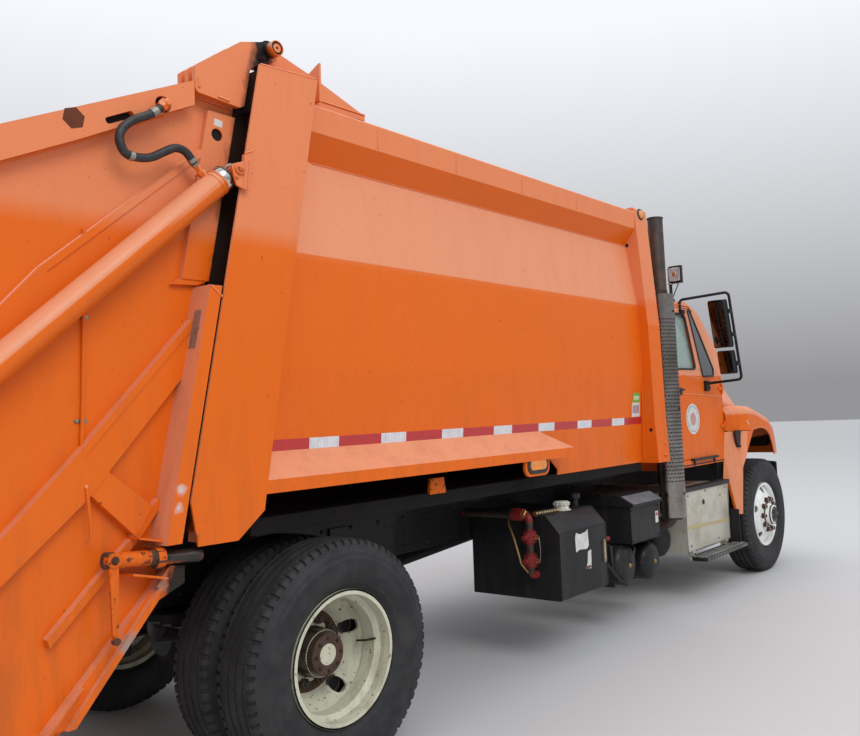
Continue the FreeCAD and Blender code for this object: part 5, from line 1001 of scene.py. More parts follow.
for hand, flip in SIDES:
    out = (0, 1, 0)
    door = Sketch(flip)
    opening = rounded([(3.85, 1.89), (3.85, 2.38), (4.262, 2.38), (4.29, 1.893)], 0.045)
    seal = on_cab(opening, 0.001)
    door.pipe(seal + seal[:1], 0.009, rubber_trim, 8)
    inner = on_cab(opening, -0.028)
    door.pipe(inner + inner[:1], 0.012, rubber_trim, 8)
    pillar = [(4.262, 2.384), (4.345, 2.384), (4.385, 2.3), (4.575, 1.9), (4.555, 1.893), (4.29, 1.893)]
    door.prism(on_cab(pillar, -0.036), (0, 0.0385, 0), orange)
    wrap = rounded([(4.335, 2.425), (4.38, 2.425), (4.652, 1.905), (4.636, 1.836), (4.405, 1.83)], 0.02)
    door.prism(on_cab(wrap, 0.0005), (0, 0.004, 0), dark_glass)
    edge = on_cab(wrap, 0.004)
    door.pipe(edge + edge[:1], 0.0085, rubber_trim, 8)
    for line in CREASES:
        door.pipe([(x, cab_y(z) - 0.0025, z) for x, z in line], 0.006, orange, 8)
    circle = [(4.158 + 0.131 * math.cos(a), 1.462 + 0.131 * math.sin(a)) for a in
              (2 * math.pi * k / 64 for k in range(64))]
    rings = ((1.0, label, 0.0006), (0.86, sticker_blue, 0.0009), (0.8, label, 0.0012),
             (0.42, sticker_pink, 0.0015))
    for share, mat, proud in rings if hand == "right" else ():
        disc = [(4.158 + (x - 4.158) * share, 1.0002, 1.462 + (z - 1.462) * share) for x, z in circle]
        door.prism(disc, (0, proud, 0), mat)
    door.plate((3.905, 1.0005, 1.7), (1, 0, 0), (0, 0, 1), (0.13, 0.062), -0.008, rubber_trim, 0.018)
    door.pipe([(3.85, 1.006, 1.712), (3.858, 1.034, 1.714), (3.952, 1.034, 1.714), (3.96, 1.006, 1.712)],
              0.0085, rubber_trim, 10)
    door.lathe((3.905, 1.0, 1.64), out, [(0, 0.014), (0.004, 0.014), (0.005, 0.011), (0.005, 0.0)], zinc, 20)
    door.done("door_details_" + hand, BODY["door_" + hand], sharp=30)

    cab = Sketch(flip)
    cab.prism([(4.07, 1.0, 1.126), (4.58, 1.0, 1.126), (4.572, 1.0, 1.108), (4.07, 1.0, 1.108)],
              (0, 0.036, 0), rubber_trim)
    for x in (4.12, 4.53):
        cab.prism([(x, 1.0, 1.11), (x + 0.026, 1.0, 1.11), (x + 0.026, 1.0, 1.066), (x, 1.0, 1.066)],
                  (0, 0.01, 0), rubber_trim)
    gutter = [(3.78, cab_y(2.462) + 0.004, 2.462), (4.36, cab_y(2.462) + 0.004, 2.462),
              (4.42, cab_y(2.42) + 0.004, 2.42), (4.9, cab_y(1.94) - 0.06, 1.94)]
    cab.pipe(gutter[:3], 0.006, orange, 8)
    cab.pipe([(3.7, 1.006, 1.3), (3.69, 1.05, 1.33), (3.69, 1.05, 1.86), (3.7, 1.0, 1.89)],
             0.013, rubber_trim, 12)
    for z in (1.3, 1.89):
        cab.plate((3.7, cab_y(z) + 0.0005, z), (1, 0, 0), (0, 0, 1), (0.05, 0.07), -0.008, rubber_trim, 0.012)
    cab.pipe([(3.655, 1.001, 1.075), (4.78, 1.001, 1.075)], 0.005, rubber_trim, 6)
    cab.done("cab_side_details_" + hand, "root", sharp=30)

# %% [markdown]
# ### Roof, windscreen and back wall
# Five amber lamps stand on the roof's front edge. The windscreen has a thick rubber seal, two
# wipers that park along its foot and a grab rail; the back window's seal is the same tube.

# %% Roof lamps, seals and wipers
crown = Sketch()
for k in range(5):
    y = (k - 2) * 0.3
    crown.lathe((4.29, y, 2.498), (0.15, 0, 1), [(0, 0.038), (0.01, 0.036), (0.012, 0.03)], rubber_trim, 24)
    crown.lathe((4.29, y, 2.508), (0.15, 0, 1), [(0, 0.03), (0.018, 0.026), (0.026, 0.016), (0.028, 0.0)],
                amber, 24)


def screen_x(z):
    """The windscreen's outer face at height z."""
    return 4.56 + (2.41 - z) * (5.0 - 4.56) / (2.41 - 1.85)


screen = rounded([(-0.78, 1.905), (-0.7, 2.4), (0.7, 2.4), (0.78, 1.905)], 0.06)
seal = [(screen_x(z) - 0.006, y, z) for y, z in screen]
crown.pipe(seal + seal[:1], 0.016, rubber_trim, 8)
for side in (-1, 1):
    x = screen_x(1.905) + 0.018
    crown.lathe((x - 0.01, side * 0.36, 1.872), (0.6, 0, 0.8), [(0, 0.02), (0.034, 0.018), (0.036, 0.0)],
                rubber_trim, 16)
    crown.pipe([(x + 0.01, side * 0.36, 1.9), (screen_x(1.96) + 0.022, side * 0.36 + 0.3, 1.96)], 0.007,
               rubber_trim, 8)
    crown.pipe([(screen_x(1.94) + 0.012, side * 0.36 + 0.06, 1.94),
                (screen_x(1.98) + 0.012, side * 0.36 + 0.42 * (1 if side > 0 else 0.9), 1.98)], 0.006,
               rubber_trim, 6)
back = rounded([(-0.52, 1.95), (-0.52, 2.33), (0.52, 2.33), (0.52, 1.95)], 0.05)
seal = [(3.62, y, z) for y, z in back]
crown.pipe(seal + seal[:1], 0.014, rubber_trim, 8)
for y in (-0.7, -0.23, 0.23, 0.7):
    crown.box(3.612, 3.622, y - 0.02, y + 0.02, 1.12, 1.86, orange)
crown.lathe((3.9, 0.3, 2.493), (0, 0, 1), [(0, 0.012), (0.02, 0.01), (0.022, 0.003), (0.26, 0.002)],
            rubber_trim, 12)
crown.done("cab_roof_details", "root", sharp=30)

# %% [markdown]
# ### Mirrors and work lamp
# The mirror heads get a bright glass in a black rim on the face that looks back, and the work lamp
# a steel reflector behind ribbed glass. Real mirror glass is a perfect reflector, so the material
# is plain metal with almost no roughness.

# %% Mirror glass and the work lamp
def tube_x(z):
    """The mirror tube's middle at height z."""
    return 4.487 + (z - 1.788) * (4.31 - 4.487) / (2.54 - 1.788)


for hand, flip in SIDES:
    glasses = Sketch(flip)
    for z0, z1, deep, wide, corner in ((2.065, 2.475, 0.074, 0.15, 0.026), (1.838, 2.04, 0.07, 0.135, 0.034)):
        low = Vector((tube_x(z0) - 0.022 - deep, 0, z0))
        high = Vector((tube_x(z1) - 0.022 - deep, 0, z1))
        rise = (high - low).normalized()
        middle = (low + high) / 2 + Vector((0, 1.315 - wide / 2, 0))
        size = (wide - 0.018, (high - low).length - 0.018)
        glasses.plate(middle + Vector((0.001, 0, 0)), (0, 1, 0), rise, (wide - 0.004, size[1] + 0.012),
                      -0.006, rubber_trim, corner)
        turned = Vector((0.05, 1, 0)).normalized()
        glasses.plate(middle - Vector((0.0085, 0, 0)), turned, rise, size, -0.0015, mirror_glass,
                      corner - 0.005)
    for z in (1.93, 2.18, 2.38):
        glasses.lathe((tube_x(z), 1.322, z - 0.018), (0.23, 0, -0.97), [(-0.036, 0.019), (0.0, 0.019)],
                      rubber_trim, 16)
    for x, z in ((4.442, 1.76), (4.484, 1.728)):
        glasses.bolt((x, 1.026, z), (0, 1, 0), 0.008, dark_steel)
    glasses.done("mirror_details_" + hand, BODY["mirror_" + hand], sharp=30)
beam = Sketch(-1)
middle = Vector((4.112, 0.931, 2.725))
beam.plate(middle, (0, 1, 0), (0, 0, 1), (0.128, 0.142), 0.006, rubber_trim, 0.022)
beam.plate(middle - Vector((0.006, 0, 0)), (0, 1, 0), (0, 0, 1), (0.106, 0.12), 0.004, clear_lens, 0.016)
for k in range(7):
    y = 0.893 + 0.0127 * k
    beam.box(4.101, 4.103, y, y + 0.0025, 2.672, 2.778, clear_lens)
beam.lathe((4.112, 0.931, 2.725), (-1, 0, 0), [(0.0102, 0.02), (0.0125, 0.018), (0.013, 0.0)], chrome, 20)
beam.lathe((4.13, 0.88, 2.64), (0, 0, 1), [(0, 0.022), (0.014, 0.022)], zinc, 6)
beam.pipe([(4.172, 0.931, 2.7), (4.19, 0.93, 2.66), (4.17, 0.9, 2.58), (4.15, 0.882, 2.52)], 0.005,
          rubber_trim, 8)
beam.done("work_lamp_details", BODY["work_lamp"])
# %% [markdown]
# ## Hydraulic tank, valves and battery box
# These hang on the chassis' right side. The tank has a filler cap, a breather, a level glass and
# brass unions. The red valves have wire handles. The battery box has a ribbed lid and a light flap.

# %% Hydraulic tank, valves and battery box
kit = Sketch(-1)
up, out = (0, 0, 1), (0, 1, 0)
kit.lathe((2.076, 0.99, 0.929), up, [(0, 0.062), (0.006, 0.062), (0.008, 0.05), (0.03, 0.048), (0.034, 0.052),
                                      (0.052, 0.052), (0.058, 0.046), (0.06, 0.0)], cap_white, 32)
for k in range(12):
    a = math.pi * k / 6
    kit.lathe((2.076 + 0.052 * math.cos(a), 0.99 + 0.052 * math.sin(a), 0.962), up,
              [(0, 0.005), (0.018, 0.005)], cap_white, 8)
for k in range(6):
    a = math.pi * k / 3
    kit.bolt((2.076 + 0.057 * math.cos(a), 0.99 + 0.057 * math.sin(a), 0.934), up, 0.0045, dark_steel,
             washer=False)
kit.lathe((2.3, 0.95, 0.978), up, [(0, 0.024), (0.004, 0.04), (0.034, 0.04), (0.042, 0.03), (0.044, 0.0)],
          black, 28)
kit.prism([(1.975, 1.1502, 0.775), (1.99, 1.1502, 0.8), (2.03, 1.1502, 0.785), (2.1, 1.1502, 0.792),
           (2.128, 1.1502, 0.805), (2.135, 1.1502, 0.7), (2.11, 1.1502, 0.682), (2.02, 1.1502, 0.69),
           (1.98, 1.1502, 0.678)], (0, 0.0008, 0), label)
kit.prism([(2.092, 1.1502, 0.56), (2.15, 1.1502, 0.552), (2.158, 1.1502, 0.6), (2.16, 1.1502, 0.672),
           (2.12, 1.1502, 0.664), (2.112, 1.1502, 0.6)], (0, 0.0008, 0), label)
kit.plate((2.122, 1.1511, 0.566), (1, 0, 0), up, (0.05, 0.016), -0.0004, rust_rim, 0.002)
kit.plate((2.32, 1.15, 0.64), (1, 0, 0), up, (0.03, 0.15), -0.01, zinc, 0.012)
kit.plate((2.32, 1.16, 0.64), (1, 0, 0), up, (0.014, 0.11), -0.003, sight_glass, 0.006)
for z in (0.7, 0.58):
    kit.bolt((2.32, 1.16, z), out, 0.006, brass)
for x in (1.8, 2.357):
    kit.weld([(x, 1.15, 0.415), (x, 1.15, 0.815), (x, 1.05, 0.925), (x, 0.47, 0.925)], black, 0.004)
kit.bolt((2.08, 0.8, 0.405), (0, 0, -1), 0.018, brass)
for z in (0.655, 0.8):
    kit.lathe((1.74, 0.965, z + 0.034), up, [(0, 0.03), (0.012, 0.03), (0.014, 0.024)], red, 6)
    kit.lathe((1.74, 0.965, z - 0.048), up, [(0, 0.03), (0.014, 0.03)], red, 6)
    kit.lathe((1.74, 1.006, z), out, [(0, 0.018), (0.014, 0.018), (0.016, 0.012), (0.03, 0.012)], brass, 8)
    kit.pipe([(1.74, 1.03, z), (1.7, 1.04, z + 0.01), (1.64, 1.042, z + 0.03), (1.6, 1.04, z + 0.035)], 0.006,
             red, 8)
kit.pipe([(1.74, 1.034, 0.8), (1.73, 1.05, 0.74), (1.735, 1.045, 0.69), (1.74, 1.034, 0.655)], 0.0022, zinc,
         6)
kit.lathe((1.74, 0.925, 0.935), out, [(-0.08, 0.044), (-0.03, 0.044)], red, 6)
kit.lathe((1.74, 0.925, 0.935), out, [(-0.02, 0.03), (0.02, 0.03), (0.024, 0.024)], brass, 6)
kit.rod((2.43, 1.06, 0.7), (2.5, 1.085, 0.688), 0.016, red)
kit.rod((2.357, 1.05, 0.705), (2.44, 1.064, 0.7), 0.009, dark_steel)
for z0, z1 in ((0.572, 0.618), (0.692, 0.762), (0.838, 0.89)):
    kit.lathe((1.74, 0.965, z0), up, [(0, 0.0246), (z1 - z0, 0.0246)], dark_steel, 16)
kit.lathe((1.74, 0.846, 0.935), (0, -1, 0), [(0, 0.0385), (0.02, 0.0385), (0.022, 0.0255), (0.4, 0.0255)],
          dark_steel, 20)
kit.pipe([(1.74, 0.8, 0.935), (1.69, 0.84, 0.88), (1.67, 0.9, 0.78), (1.68, 0.935, 0.64),
          (1.72, 0.955, 0.585)], 0.006, brass, 8)
for k in range(9):
    kit.lathe((1.775 + 0.024 * k, 0.985 + 0.003 * k, 0.938), (1, 0.1, 0), [(0, 0.017), (0.017, 0.017)],
              zinc if k % 2 else brass, 8)
kit.done("tank_fittings", "root")

batteries = Sketch(-1)
for y in (0.6, 0.672, 0.744, 0.816, 0.888, 0.96):
    batteries.box(2.795, 3.24, y, y + 0.034, 0.939, 0.95, black)
batteries.prism([(2.8, 1.031, 0.9405), (3.235, 1.031, 0.9405), (3.235, 1.1275, 0.8865),
                 (2.8, 1.1275, 0.8865)], (0, 0.0012, 0.002), lid_flap)
batteries.plate((3.196, 1.1005, 0.755), (1, 0, 0), up, (0.045, 0.085), -0.0008, label, 0.004)
batteries.plate((3.196, 1.1013, 0.775), (1, 0, 0), up, (0.034, 0.02), -0.0004, tape_red)
for x in (2.815, 3.22):
    for z in (0.625, 0.84):
        batteries.bolt((x, 1.1, z), out, 0.006, dark_steel)
batteries.weld([(2.8, 1.1, 0.61), (3.235, 1.1, 0.61)], black, 0.003)
batteries.done("battery_fittings", "root")

# %% [markdown]
# ## Air tanks, exhaust and heat shield
# The air tanks get domed ends, straps and brass drains. The shield's slots could be cut out of the
# metal, but the muffler behind them is black, so dark slots, each with a bright lip below it, read the
# same from every side; the slots are painted shade over the black muffler. The shield has plain ends,
# as in the photo. A round black muffler with two dark straps lies across the truck.

# %% Air tanks, exhaust and heat shield
air = Sketch(-1)
for x, z, r in ((2.827, 0.452, 0.146), (3.208, 0.42, 0.14)):
    for y, way in ((1.0, 1), (0.52, -1)):
        air.lathe((x, y, z), (0, way, 0), [(0, r), (0.012, r * 0.985), (0.03, r * 0.9), (0.045, r * 0.7),
                                           (0.054, r * 0.4), (0.056, 0.0)], black, 40)
    for y in (0.64, 0.88):
        air.lathe((x, y, z), out, [(0, r + 0.003), (0.036, r + 0.003)], dark_steel, 40)
        air.bolt((x - 0.02, y + 0.018, z - r - 0.002), (0, 0, -1), 0.007, zinc)
    air.bolt((x, 1.054, z), out, 0.013, brass)
    air.lathe((x, 0.76, z - r + 0.002), (0, 0, -1), [(0, 0.012), (0.016, 0.012), (0.018, 0.008)], brass, 6)
air.pipe([(2.827, 1.06, 0.452), (2.85, 1.075, 0.5), (2.9, 1.06, 0.56), (2.905, 1.02, 0.6)], 0.007,
         hose_rubber, 8)
air.pipe([(2.66, 0.9, 0.6), (2.64, 0.98, 0.48), (2.7, 1.04, 0.36), (2.76, 1.06, 0.33)], 0.016, black, 10)
air.prism([(2.64, 1.01, 0.61), (2.668, 1.01, 0.61), (2.7, 1.01, 0.33), (2.672, 1.01, 0.318)],
          (0, -0.13, 0), black)
air.done("air_tank_fittings", "root")

shield = Sketch(-1)
SX, SY, SR = 3.49, 1.085, 0.1121
for row in range(45):
    z = 0.995 + 0.0288 * row
    for k in range(19):
        a = math.radians(-72 + 13.2 * k + (0 if row % 2 else 6.6))
        span = 0.066
        arc_at = [(SX + SR * math.cos(a + s), SY + SR * math.sin(a + s)) for s in (-span, 0, span)]
        slot_line = [(x, y, z) for x, y in arc_at]
        upper = [(x, y, z + 0.0085) for x, y in reversed(arc_at)]
        outward = Vector((math.cos(a), math.sin(a), 0))
        # Each slot is a dark sheet: painted shade over the black muffler behind it.
        shield.prism(slot_line + upper, outward * 0.0007, void)
        lip = [Vector(p) - Vector((0, 0, 0.0035))
               for p in slot_line] + [Vector(p) for p in reversed(slot_line)]
        shield.prism(lip, outward * 0.003, shield_steel)
for z in (0.9, 1.56, 2.33):
    shield.bolt((SX, SY + SR, z), out, 0.008, dark_steel)
shield.done("heat_shield_slots", BODY["heat_shield"])

stack = Sketch(-1)
stack.lathe((3.655, 0.54, 0.505), out, [(0, 0.11), (0.02, 0.134), (0.33, 0.134), (0.366, 0.122), (0.39, 0.09),
                                         (0.402, 0.045), (0.404, 0.0)], black, 48)
for y in (0.62, 0.82):
    stack.lathe((3.655, y, 0.505), out, [(0, 0.1365), (0.03, 0.1365)], dark_steel, 48)
    stack.box(3.64, 3.67, y, y + 0.03, 0.63, 0.86, black)
stack.box(3.64, 3.67, 0.432, 0.85, 0.85, 0.87, black)
stack.lathe((SX, SY, 3.08), up, [(0, 0.0625), (0.012, 0.0665), (0.02, 0.0665), (0.02, 0.058), (0.0, 0.057)],
            stack_steel, 40, ring=True)
for z, r in ((2.446, 0.086), (0.712, 0.086)):
    stack.lathe((SX, SY, z), up, [(0, r), (0.026, r), (0.028, r - 0.012)], stack_steel, 40)
stack.lathe((SX, SY, 2.476), up, [(0, 0.066), (0.03, 0.066), (0.031, 0.0625)], dark_steel, 40)
stack.bolt((SX - 0.07, SY, 2.491), (-1, 0, 0), 0.008, zinc)
for y in (0.62, 0.82):
    stack.lathe((SX, y, 0.665), out, [(0, 0.056), (0.024, 0.056)], dark_steel, 28)
    stack.bolt((SX, y + 0.012, 0.61), (0, 0, -1), 0.007, zinc)
stack.done("exhaust_fittings", BODY["exhaust_stack"])

# %% [markdown]
# ## Step box
# A folded aluminium box with a worn yellow strip, a black top edge and a grip-tread step. Each of
# the tread's holes has a raised rim that bites the boot, so each is lathed, not painted.

# %% Step box
steps = Sketch(-1)
steps.prism([(3.8, 1.0503, 0.6), (4.683, 1.0503, 0.566), (4.682, 1.0503, 0.536), (3.8, 1.0503, 0.57)],
            (0, 0.0008, 0), yellow_strip)
for x0, x1, z0, z1 in ((3.803, 4.688, 0.872, 0.884), (3.803, 4.672, 0.381, 0.392),
                       (3.801, 3.813, 0.381, 0.884), (4.664, 4.676, 0.392, 0.872)):
    steps.box(x0, x1, 1.0495, 1.053, z0, z1, aluminium)
for x, z in ((4.499, 0.786), (3.867, 0.434), (4.417, 0.424), (3.85, 0.84), (4.62, 0.84), (4.2, 0.85)):
    steps.bolt((x, 1.05, z), out, 0.0075, zinc)
steps.lathe((4.15, 1.05, 0.76), out, [(0, 0.022), (0.004, 0.022), (0.006, 0.016), (0.007, 0.0)], dark_steel,
            24)
steps.box(3.79, 4.7, 1.01, 1.062, 0.896, 0.902, rubber_trim)
steps.box(3.79, 4.7, 1.056, 1.062, 0.87, 0.896, rubber_trim)
for k in range(30):
    x = 3.8 + 0.0305 * k
    steps.box(x, x + 0.016, 0.975, 1.058, 0.9015, 0.9045, rubber_trim)
steps.prism(rounded([(3.8395, 1.04, 0.35), (3.8395, 1.1905, 0.35), (4.7205, 1.1905, 0.35),
                     (4.7205, 1.04, 0.35)], 0.028), (0, 0, 0.0012), black)
steps.prism(rounded([(3.8392, 1.04, 0.32), (3.8392, 1.1908, 0.32), (4.7208, 1.1908, 0.32),
                     (4.7208, 1.04, 0.32)], 0.03), (0, 0, 0.0305), black)
for row, y in enumerate((1.078, 1.112, 1.146, 1.172)):
    for k in range(26 if row % 2 else 27):
        x = 3.856 + 0.0325 * k + (0.016 if row % 2 else 0)
        steps.lathe((x, y, 0.3495), up, [(0, 0.013), (0.0035, 0.01), (0.004, 0.0078), (0.0005, 0.0075)],
                    aluminium, 12)
        # The tread's holes are dark discs: painted shade.
        steps.lathe((x, y, 0.35), up, [(0, 0.0074), (0.0008, 0.0074)], void, 10)
for k in range(27):
    steps.box(3.872 + 0.0315 * k, 3.884 + 0.0315 * k, 1.1895, 1.1925, 0.324, 0.347, aluminium)
for x in (3.9, 4.58):
    steps.bolt((x, 1.06, 0.365), out, 0.008, dark_steel)
steps.done("step_box_details", "root")

# %% [markdown]
# ## Hood and front
# The hood tilts forward, so everything on it rides on the hood's body: the rubber latch at each
# side, the round amber side marker, the headlights in the fenders, the grille's frame and mesh, and
# a bulging edge round each wheel arch. A hood with no badge stays bare.

# %% Hood details
FENDER_ROWS = [(4.836, 1.544, 1.012), (4.87, 1.55, 1.06), (4.93, 1.554, 1.115), (5.0, 1.556, 1.145),
               (5.16, 1.546, 1.15), (5.34, 1.505, 1.15), (5.56, 1.45, 1.146), (5.76, 1.38, 1.11),
               (5.9, 1.31, 1.071), (5.99, 1.225, 1.046), (6.036, 1.13, 1.033)]


def fender_y(x):
    """The fender's half width at place x."""
    for (x0, _, y0), (x1, _, y1) in zip(FENDER_ROWS, FENDER_ROWS[1:]):
        if x <= x1:
            return y0 + (y1 - y0) * (x - x0) / (x1 - x0)
    return FENDER_ROWS[-1][2]


ARCH = [(4.85, 1.328), (5.11, 1.328), (5.17, 1.334), (5.29, 1.344), (5.4, 1.338), (5.5, 1.31),
        (5.59, 1.262), (5.67, 1.19), (5.74, 1.12), (5.782, 1.068)]
for hand, flip in SIDES:
    out = (0, 1, 0)
    nose = Sketch(flip)
    edge = [(x, fender_y(x) - 0.006, z) for x, z in ARCH]
    nose.pipe(edge, 0.0075, orange, 8)
    nose.pipe([(x, y - 0.012, z - 0.007) for x, y, z in edge[:3]], 0.008, rubber_trim, 8)
    nose.lathe((5.022, 1.1405, 1.398), out, [(-0.004, 0.034), (0.004, 0.032), (0.005, 0.026)], orange, 28)
    nose.lathe((5.022, 1.1405, 1.398), out, [(0.0, 0.027), (0.008, 0.025), (0.0105, 0.016), (0.011, 0.0)],
               amber, 28)
    nose.prism([(4.852, 1.066, 1.322), (4.905, 1.097, 1.322), (4.896, 1.094, 1.235), (4.886, 1.09, 1.18),
                (4.866, 1.08, 1.18), (4.858, 1.072, 1.235)], (-0.006, 0.024, 0), rubber_trim)
    nose.plate((4.876, 1.098, 1.318), (1, 0.6, 0), (0, 0, 1), (0.062, 0.03), -0.012, rubber_trim, 0.006)
    nose.rod((4.878, 1.078, 1.188), (4.878, 1.122, 1.188), 0.012, rubber_trim)
    light = Vector((6.008, 0.85, 1.205))
    facing = Vector((1, 0.18, 0)).normalized()
    across_y = Vector((-facing.y, facing.x, 0))
    nose.plate(light - facing * 0.03, across_y, (0, 0, 1), (0.3, 0.15), 0.034, rubber_trim, 0.05)
    nose.plate(light + facing * 0.004, across_y, (0, 0, 1), (0.28, 0.13), 0.008, clear_lens, 0.045)
    for shift, size in ((-0.065, 0.048), (0.06, 0.042)):
        nose.lathe(light + facing * 0.01 + across_y * shift, facing,
                   [(0, size), (0.004, size), (0.0046, size * 0.7), (0.01, size * 0.35), (0.0105, 0.0)],
                   chrome, 28)
    nose.plate(light + facing * 0.008 + across_y * 0.12, across_y, (0, 0, 1), (0.034, 0.11), 0.006, amber,
               0.012)
    nose.done("hood_details_" + hand, BODY["hood"], sharp=30)

# %% [markdown]
# ### Grille and bumper
# Behind the grille's bars stands a mesh: crossed wires, modelled as thin rods so that the radiator
# shows through it. The bumper has a step tread on top, bolts and fog lamps.

# %% Grille and bumper
face = Sketch()
for k in range(26):
    y = -0.5 + 0.04 * k
    face.rod((6.029, y, 1.112), (6.029, y, 1.378), 0.0022, dark_steel, 6)
for z in (1.112, 1.1455, 1.1777, 1.2097, 1.2417, 1.2737, 1.3057, 1.3377, 1.3697):
    face.rod((6.029, -0.5, z), (6.029, 0.5, z), 0.0022, dark_steel, 6)
for y0, z0, y1, z1 in ((-0.512, 1.104, 0.512, 1.104), (-0.512, 1.386, 0.512, 1.386),
                       (-0.512, 1.104, -0.512, 1.386), (0.512, 1.104, 0.512, 1.386)):
    face.rod((6.052, y0, z0), (6.052, y1, z1), 0.012, chrome, 12)
face.pipe([(4.86, 0.0, 1.783), (5.4, 0.0, 1.748), (5.88, 0.0, 1.572)], 0.01, orange, 8)
face.pipe([(6.03, -0.48, 1.452), (6.044, 0.0, 1.455), (6.03, 0.48, 1.452)], 0.007, orange, 8)
face.done("grille_mesh", BODY["grille"])
bar = Sketch()
for side in (-1, 1):
    bar.lathe((6.246, side * 0.62, 0.7), (1, 0, 0), [(0, 0.062), (0.0035, 0.062), (0.0035, 0.05)],
              rubber_trim, 28)
    bar.lathe((6.243, side * 0.62, 0.7), (1, 0, 0), [(0, 0.05), (0.006, 0.048), (0.0068, 0.03), (0.0068, 0)],
              clear_lens, 28)
    for z in (0.64, 0.86):
        bar.lathe((6.249, side * 0.397, z), (1, 0, 0), [(0, 0.018), (0.0008, 0.016), (0.0009, 0)], zinc, 16)
    for y in (0.3, 0.36, 0.42, 0.48):
        bar.box(6.15, 6.238, side * y - 0.008, side * y + 0.008, 0.961, 0.965, rubber_trim)
bar.done("bumper_details", BODY["front_bumper"])
# %% [markdown]
# ## Inside the cab
# Through the open door one sees cloth seats with piping and a belt, the wheel's grip, round gauges
# in the dash, pedals and the gear lever. Padding reads as cloth only with raised seams, so each
# cushion gets piping along its edges and flutes across it.

# %% Seats, wheel, dash and pedals
room = Sketch()
for y in (0.52, -0.52):
    for side in (-1, 1):
        edge = y + side * 0.256
        room.pipe([(3.88, edge, 1.497), (4.365, edge, 1.498), (4.388, edge, 1.47), (4.386, edge, 1.412)],
                  0.008, seat_cloth, 8)
        room.pipe([(3.895, y + side * 0.247, 1.5), (3.822, y + side * 0.247, 2.12)], 0.008, seat_cloth, 8)
    for k in range(5):
        x = 3.945 + 0.085 * k
        room.pipe([(x, y - 0.235, 1.499), (x, y, 1.503), (x, y + 0.235, 1.499)], 0.009, seat_cloth, 8)
    for k in range(6):
        z = 1.59 + 0.085 * k
        x = 3.905 - (z - 1.47) * (3.905 - 3.82) / 0.69
        room.pipe([(x, y - 0.225, z), (x + 0.006, y, z), (x, y + 0.225, z)], 0.008, seat_cloth, 8)
    for side in (-0.06, 0.06):
        room.rod((3.762, y + side, 2.15), (3.758, y + side, 2.215), 0.006, chrome, 8)
    room.prism(rounded([(3.722, y - 0.125, 2.19), (3.812, y - 0.125, 2.19), (3.802, y - 0.125, 2.335),
                        (3.73, y - 0.125, 2.335)], 0.028), (0, 0.25, 0), seat_cloth)
    outer = 1 if y > 0 else -1
    belt = y + outer * 0.285
    room.prism([(3.7, belt, 2.08), (3.748, belt, 2.08), (3.8, belt, 1.44), (3.752, belt, 1.44)],
               (0, outer * 0.0015, 0), rubber_trim)
    room.lathe((3.724, belt - outer * 0.004, 2.09), (0, outer, 0), [(0, 0.026), (0.014, 0.024)], dark_steel,
               16)
    room.box(3.76, 3.8, y - outer * 0.262, y - outer * 0.248, 1.44, 1.54, red)
hub = Vector((4.44, 0.52, 1.76))
wheel_axis = Vector((-1, 0, 1)).normalized()
low_side = Vector((-1, 0, -1)).normalized()
rim = [hub + (Vector((0, 1, 0)) * math.cos(a) + low_side * math.sin(a)) * 0.225 for a in
       (2 * math.pi * k / 48 for k in range(49))]
room.pipe(rim, [0.018 if k % 2 else 0.0172 for k in range(49)], rubber_trim, 10)
room.lathe(hub - wheel_axis * 0.02, wheel_axis, [(0, 0.05), (0.04, 0.062), (0.05, 0.05), (0.052, 0.0)],
           dash_plastic, 28)
room.rod(hub, hub - low_side * 0.215, 0.011, dash_plastic)
for side in (-1, 1):
    stalk = hub - wheel_axis * 0.075
    room.pipe([stalk, stalk + Vector((0, side * 0.09, 0.01)), stalk + Vector((0, side * 0.17, 0.04))], 0.007,
              rubber_trim, 8)
for y, z, r in ((0.43, 1.665, 0.052), (0.56, 1.665, 0.052), (0.66, 1.68, 0.028), (0.66, 1.61, 0.028),
                (0.335, 1.68, 0.028), (0.335, 1.61, 0.028), (0.15, 1.66, 0.026), (0.08, 1.66, 0.026)):
    room.lathe((4.5605, y, z), (-1, 0, 0), [(0, r), (0.008, r), (0.008, r - 0.005), (0.002, r - 0.006)],
               chrome, 28)
    room.lathe((4.5585, y, z), (-1, 0, 0), [(0, r - 0.006), (0.0012, r - 0.006)], void, 24)
    room.rod((4.5565, y, z), (4.5565, y - r * 0.45, z + r * 0.45), 0.0014, red, 6)
    room.lathe((4.5575, y, z), (-1, 0, 0), [(0, 0.004), (0.004, 0.003)], rubber_trim, 10)
for k in range(6):
    room.box(4.55, 4.5605, -0.02 - 0.04 * k, 0.006 - 0.04 * k, 1.64, 1.664, rubber_trim)
# Rows of dark slits on the dash face: painted shade.
for y0, y1 in ((-0.56, -0.38), (-0.86, -0.68), (0.76, 0.88)):
    for k in range(5):
        room.box(4.552, 4.5605, y0, y1, 1.672 + 0.012 * k, 1.677 + 0.012 * k, void)
room.plate((4.56, -0.56, 1.575), (0, 1, 0), (0, 0, 1), (0.44, 0.11), 0.004, dash_plastic, 0.02)
for y, w, z in ((0.64, 0.055, 1.23), (0.5, 0.08, 1.27), (0.38, 0.08, 1.27)):
    room.pipe([(4.7, y, 1.42), (4.65, y, 1.36), (4.64, y, z)], 0.009, dark_steel, 8)
    room.plate((4.636, y, z), (0, 1, 0), (-0.35, 0, 1), (w, 0.075), -0.01, rubber_trim, 0.012)
room.lathe((4.35, 0.05, 1.101), (-0.1, 0, 1), [(0, 0.085), (0.02, 0.07), (0.07, 0.04), (0.12, 0.022)],
           rubber_trim, 20)
room.pipe([(4.35, 0.05, 1.18), (4.32, 0.05, 1.42), (4.27, 0.06, 1.62)], 0.009, chrome, 10)
room.lathe((4.268, 0.0605, 1.61), (-0.2, 0, 1), [(0, 0.012), (0.01, 0.026), (0.036, 0.027), (0.05, 0.016),
                                                 (0.053, 0)], rubber_trim, 20)
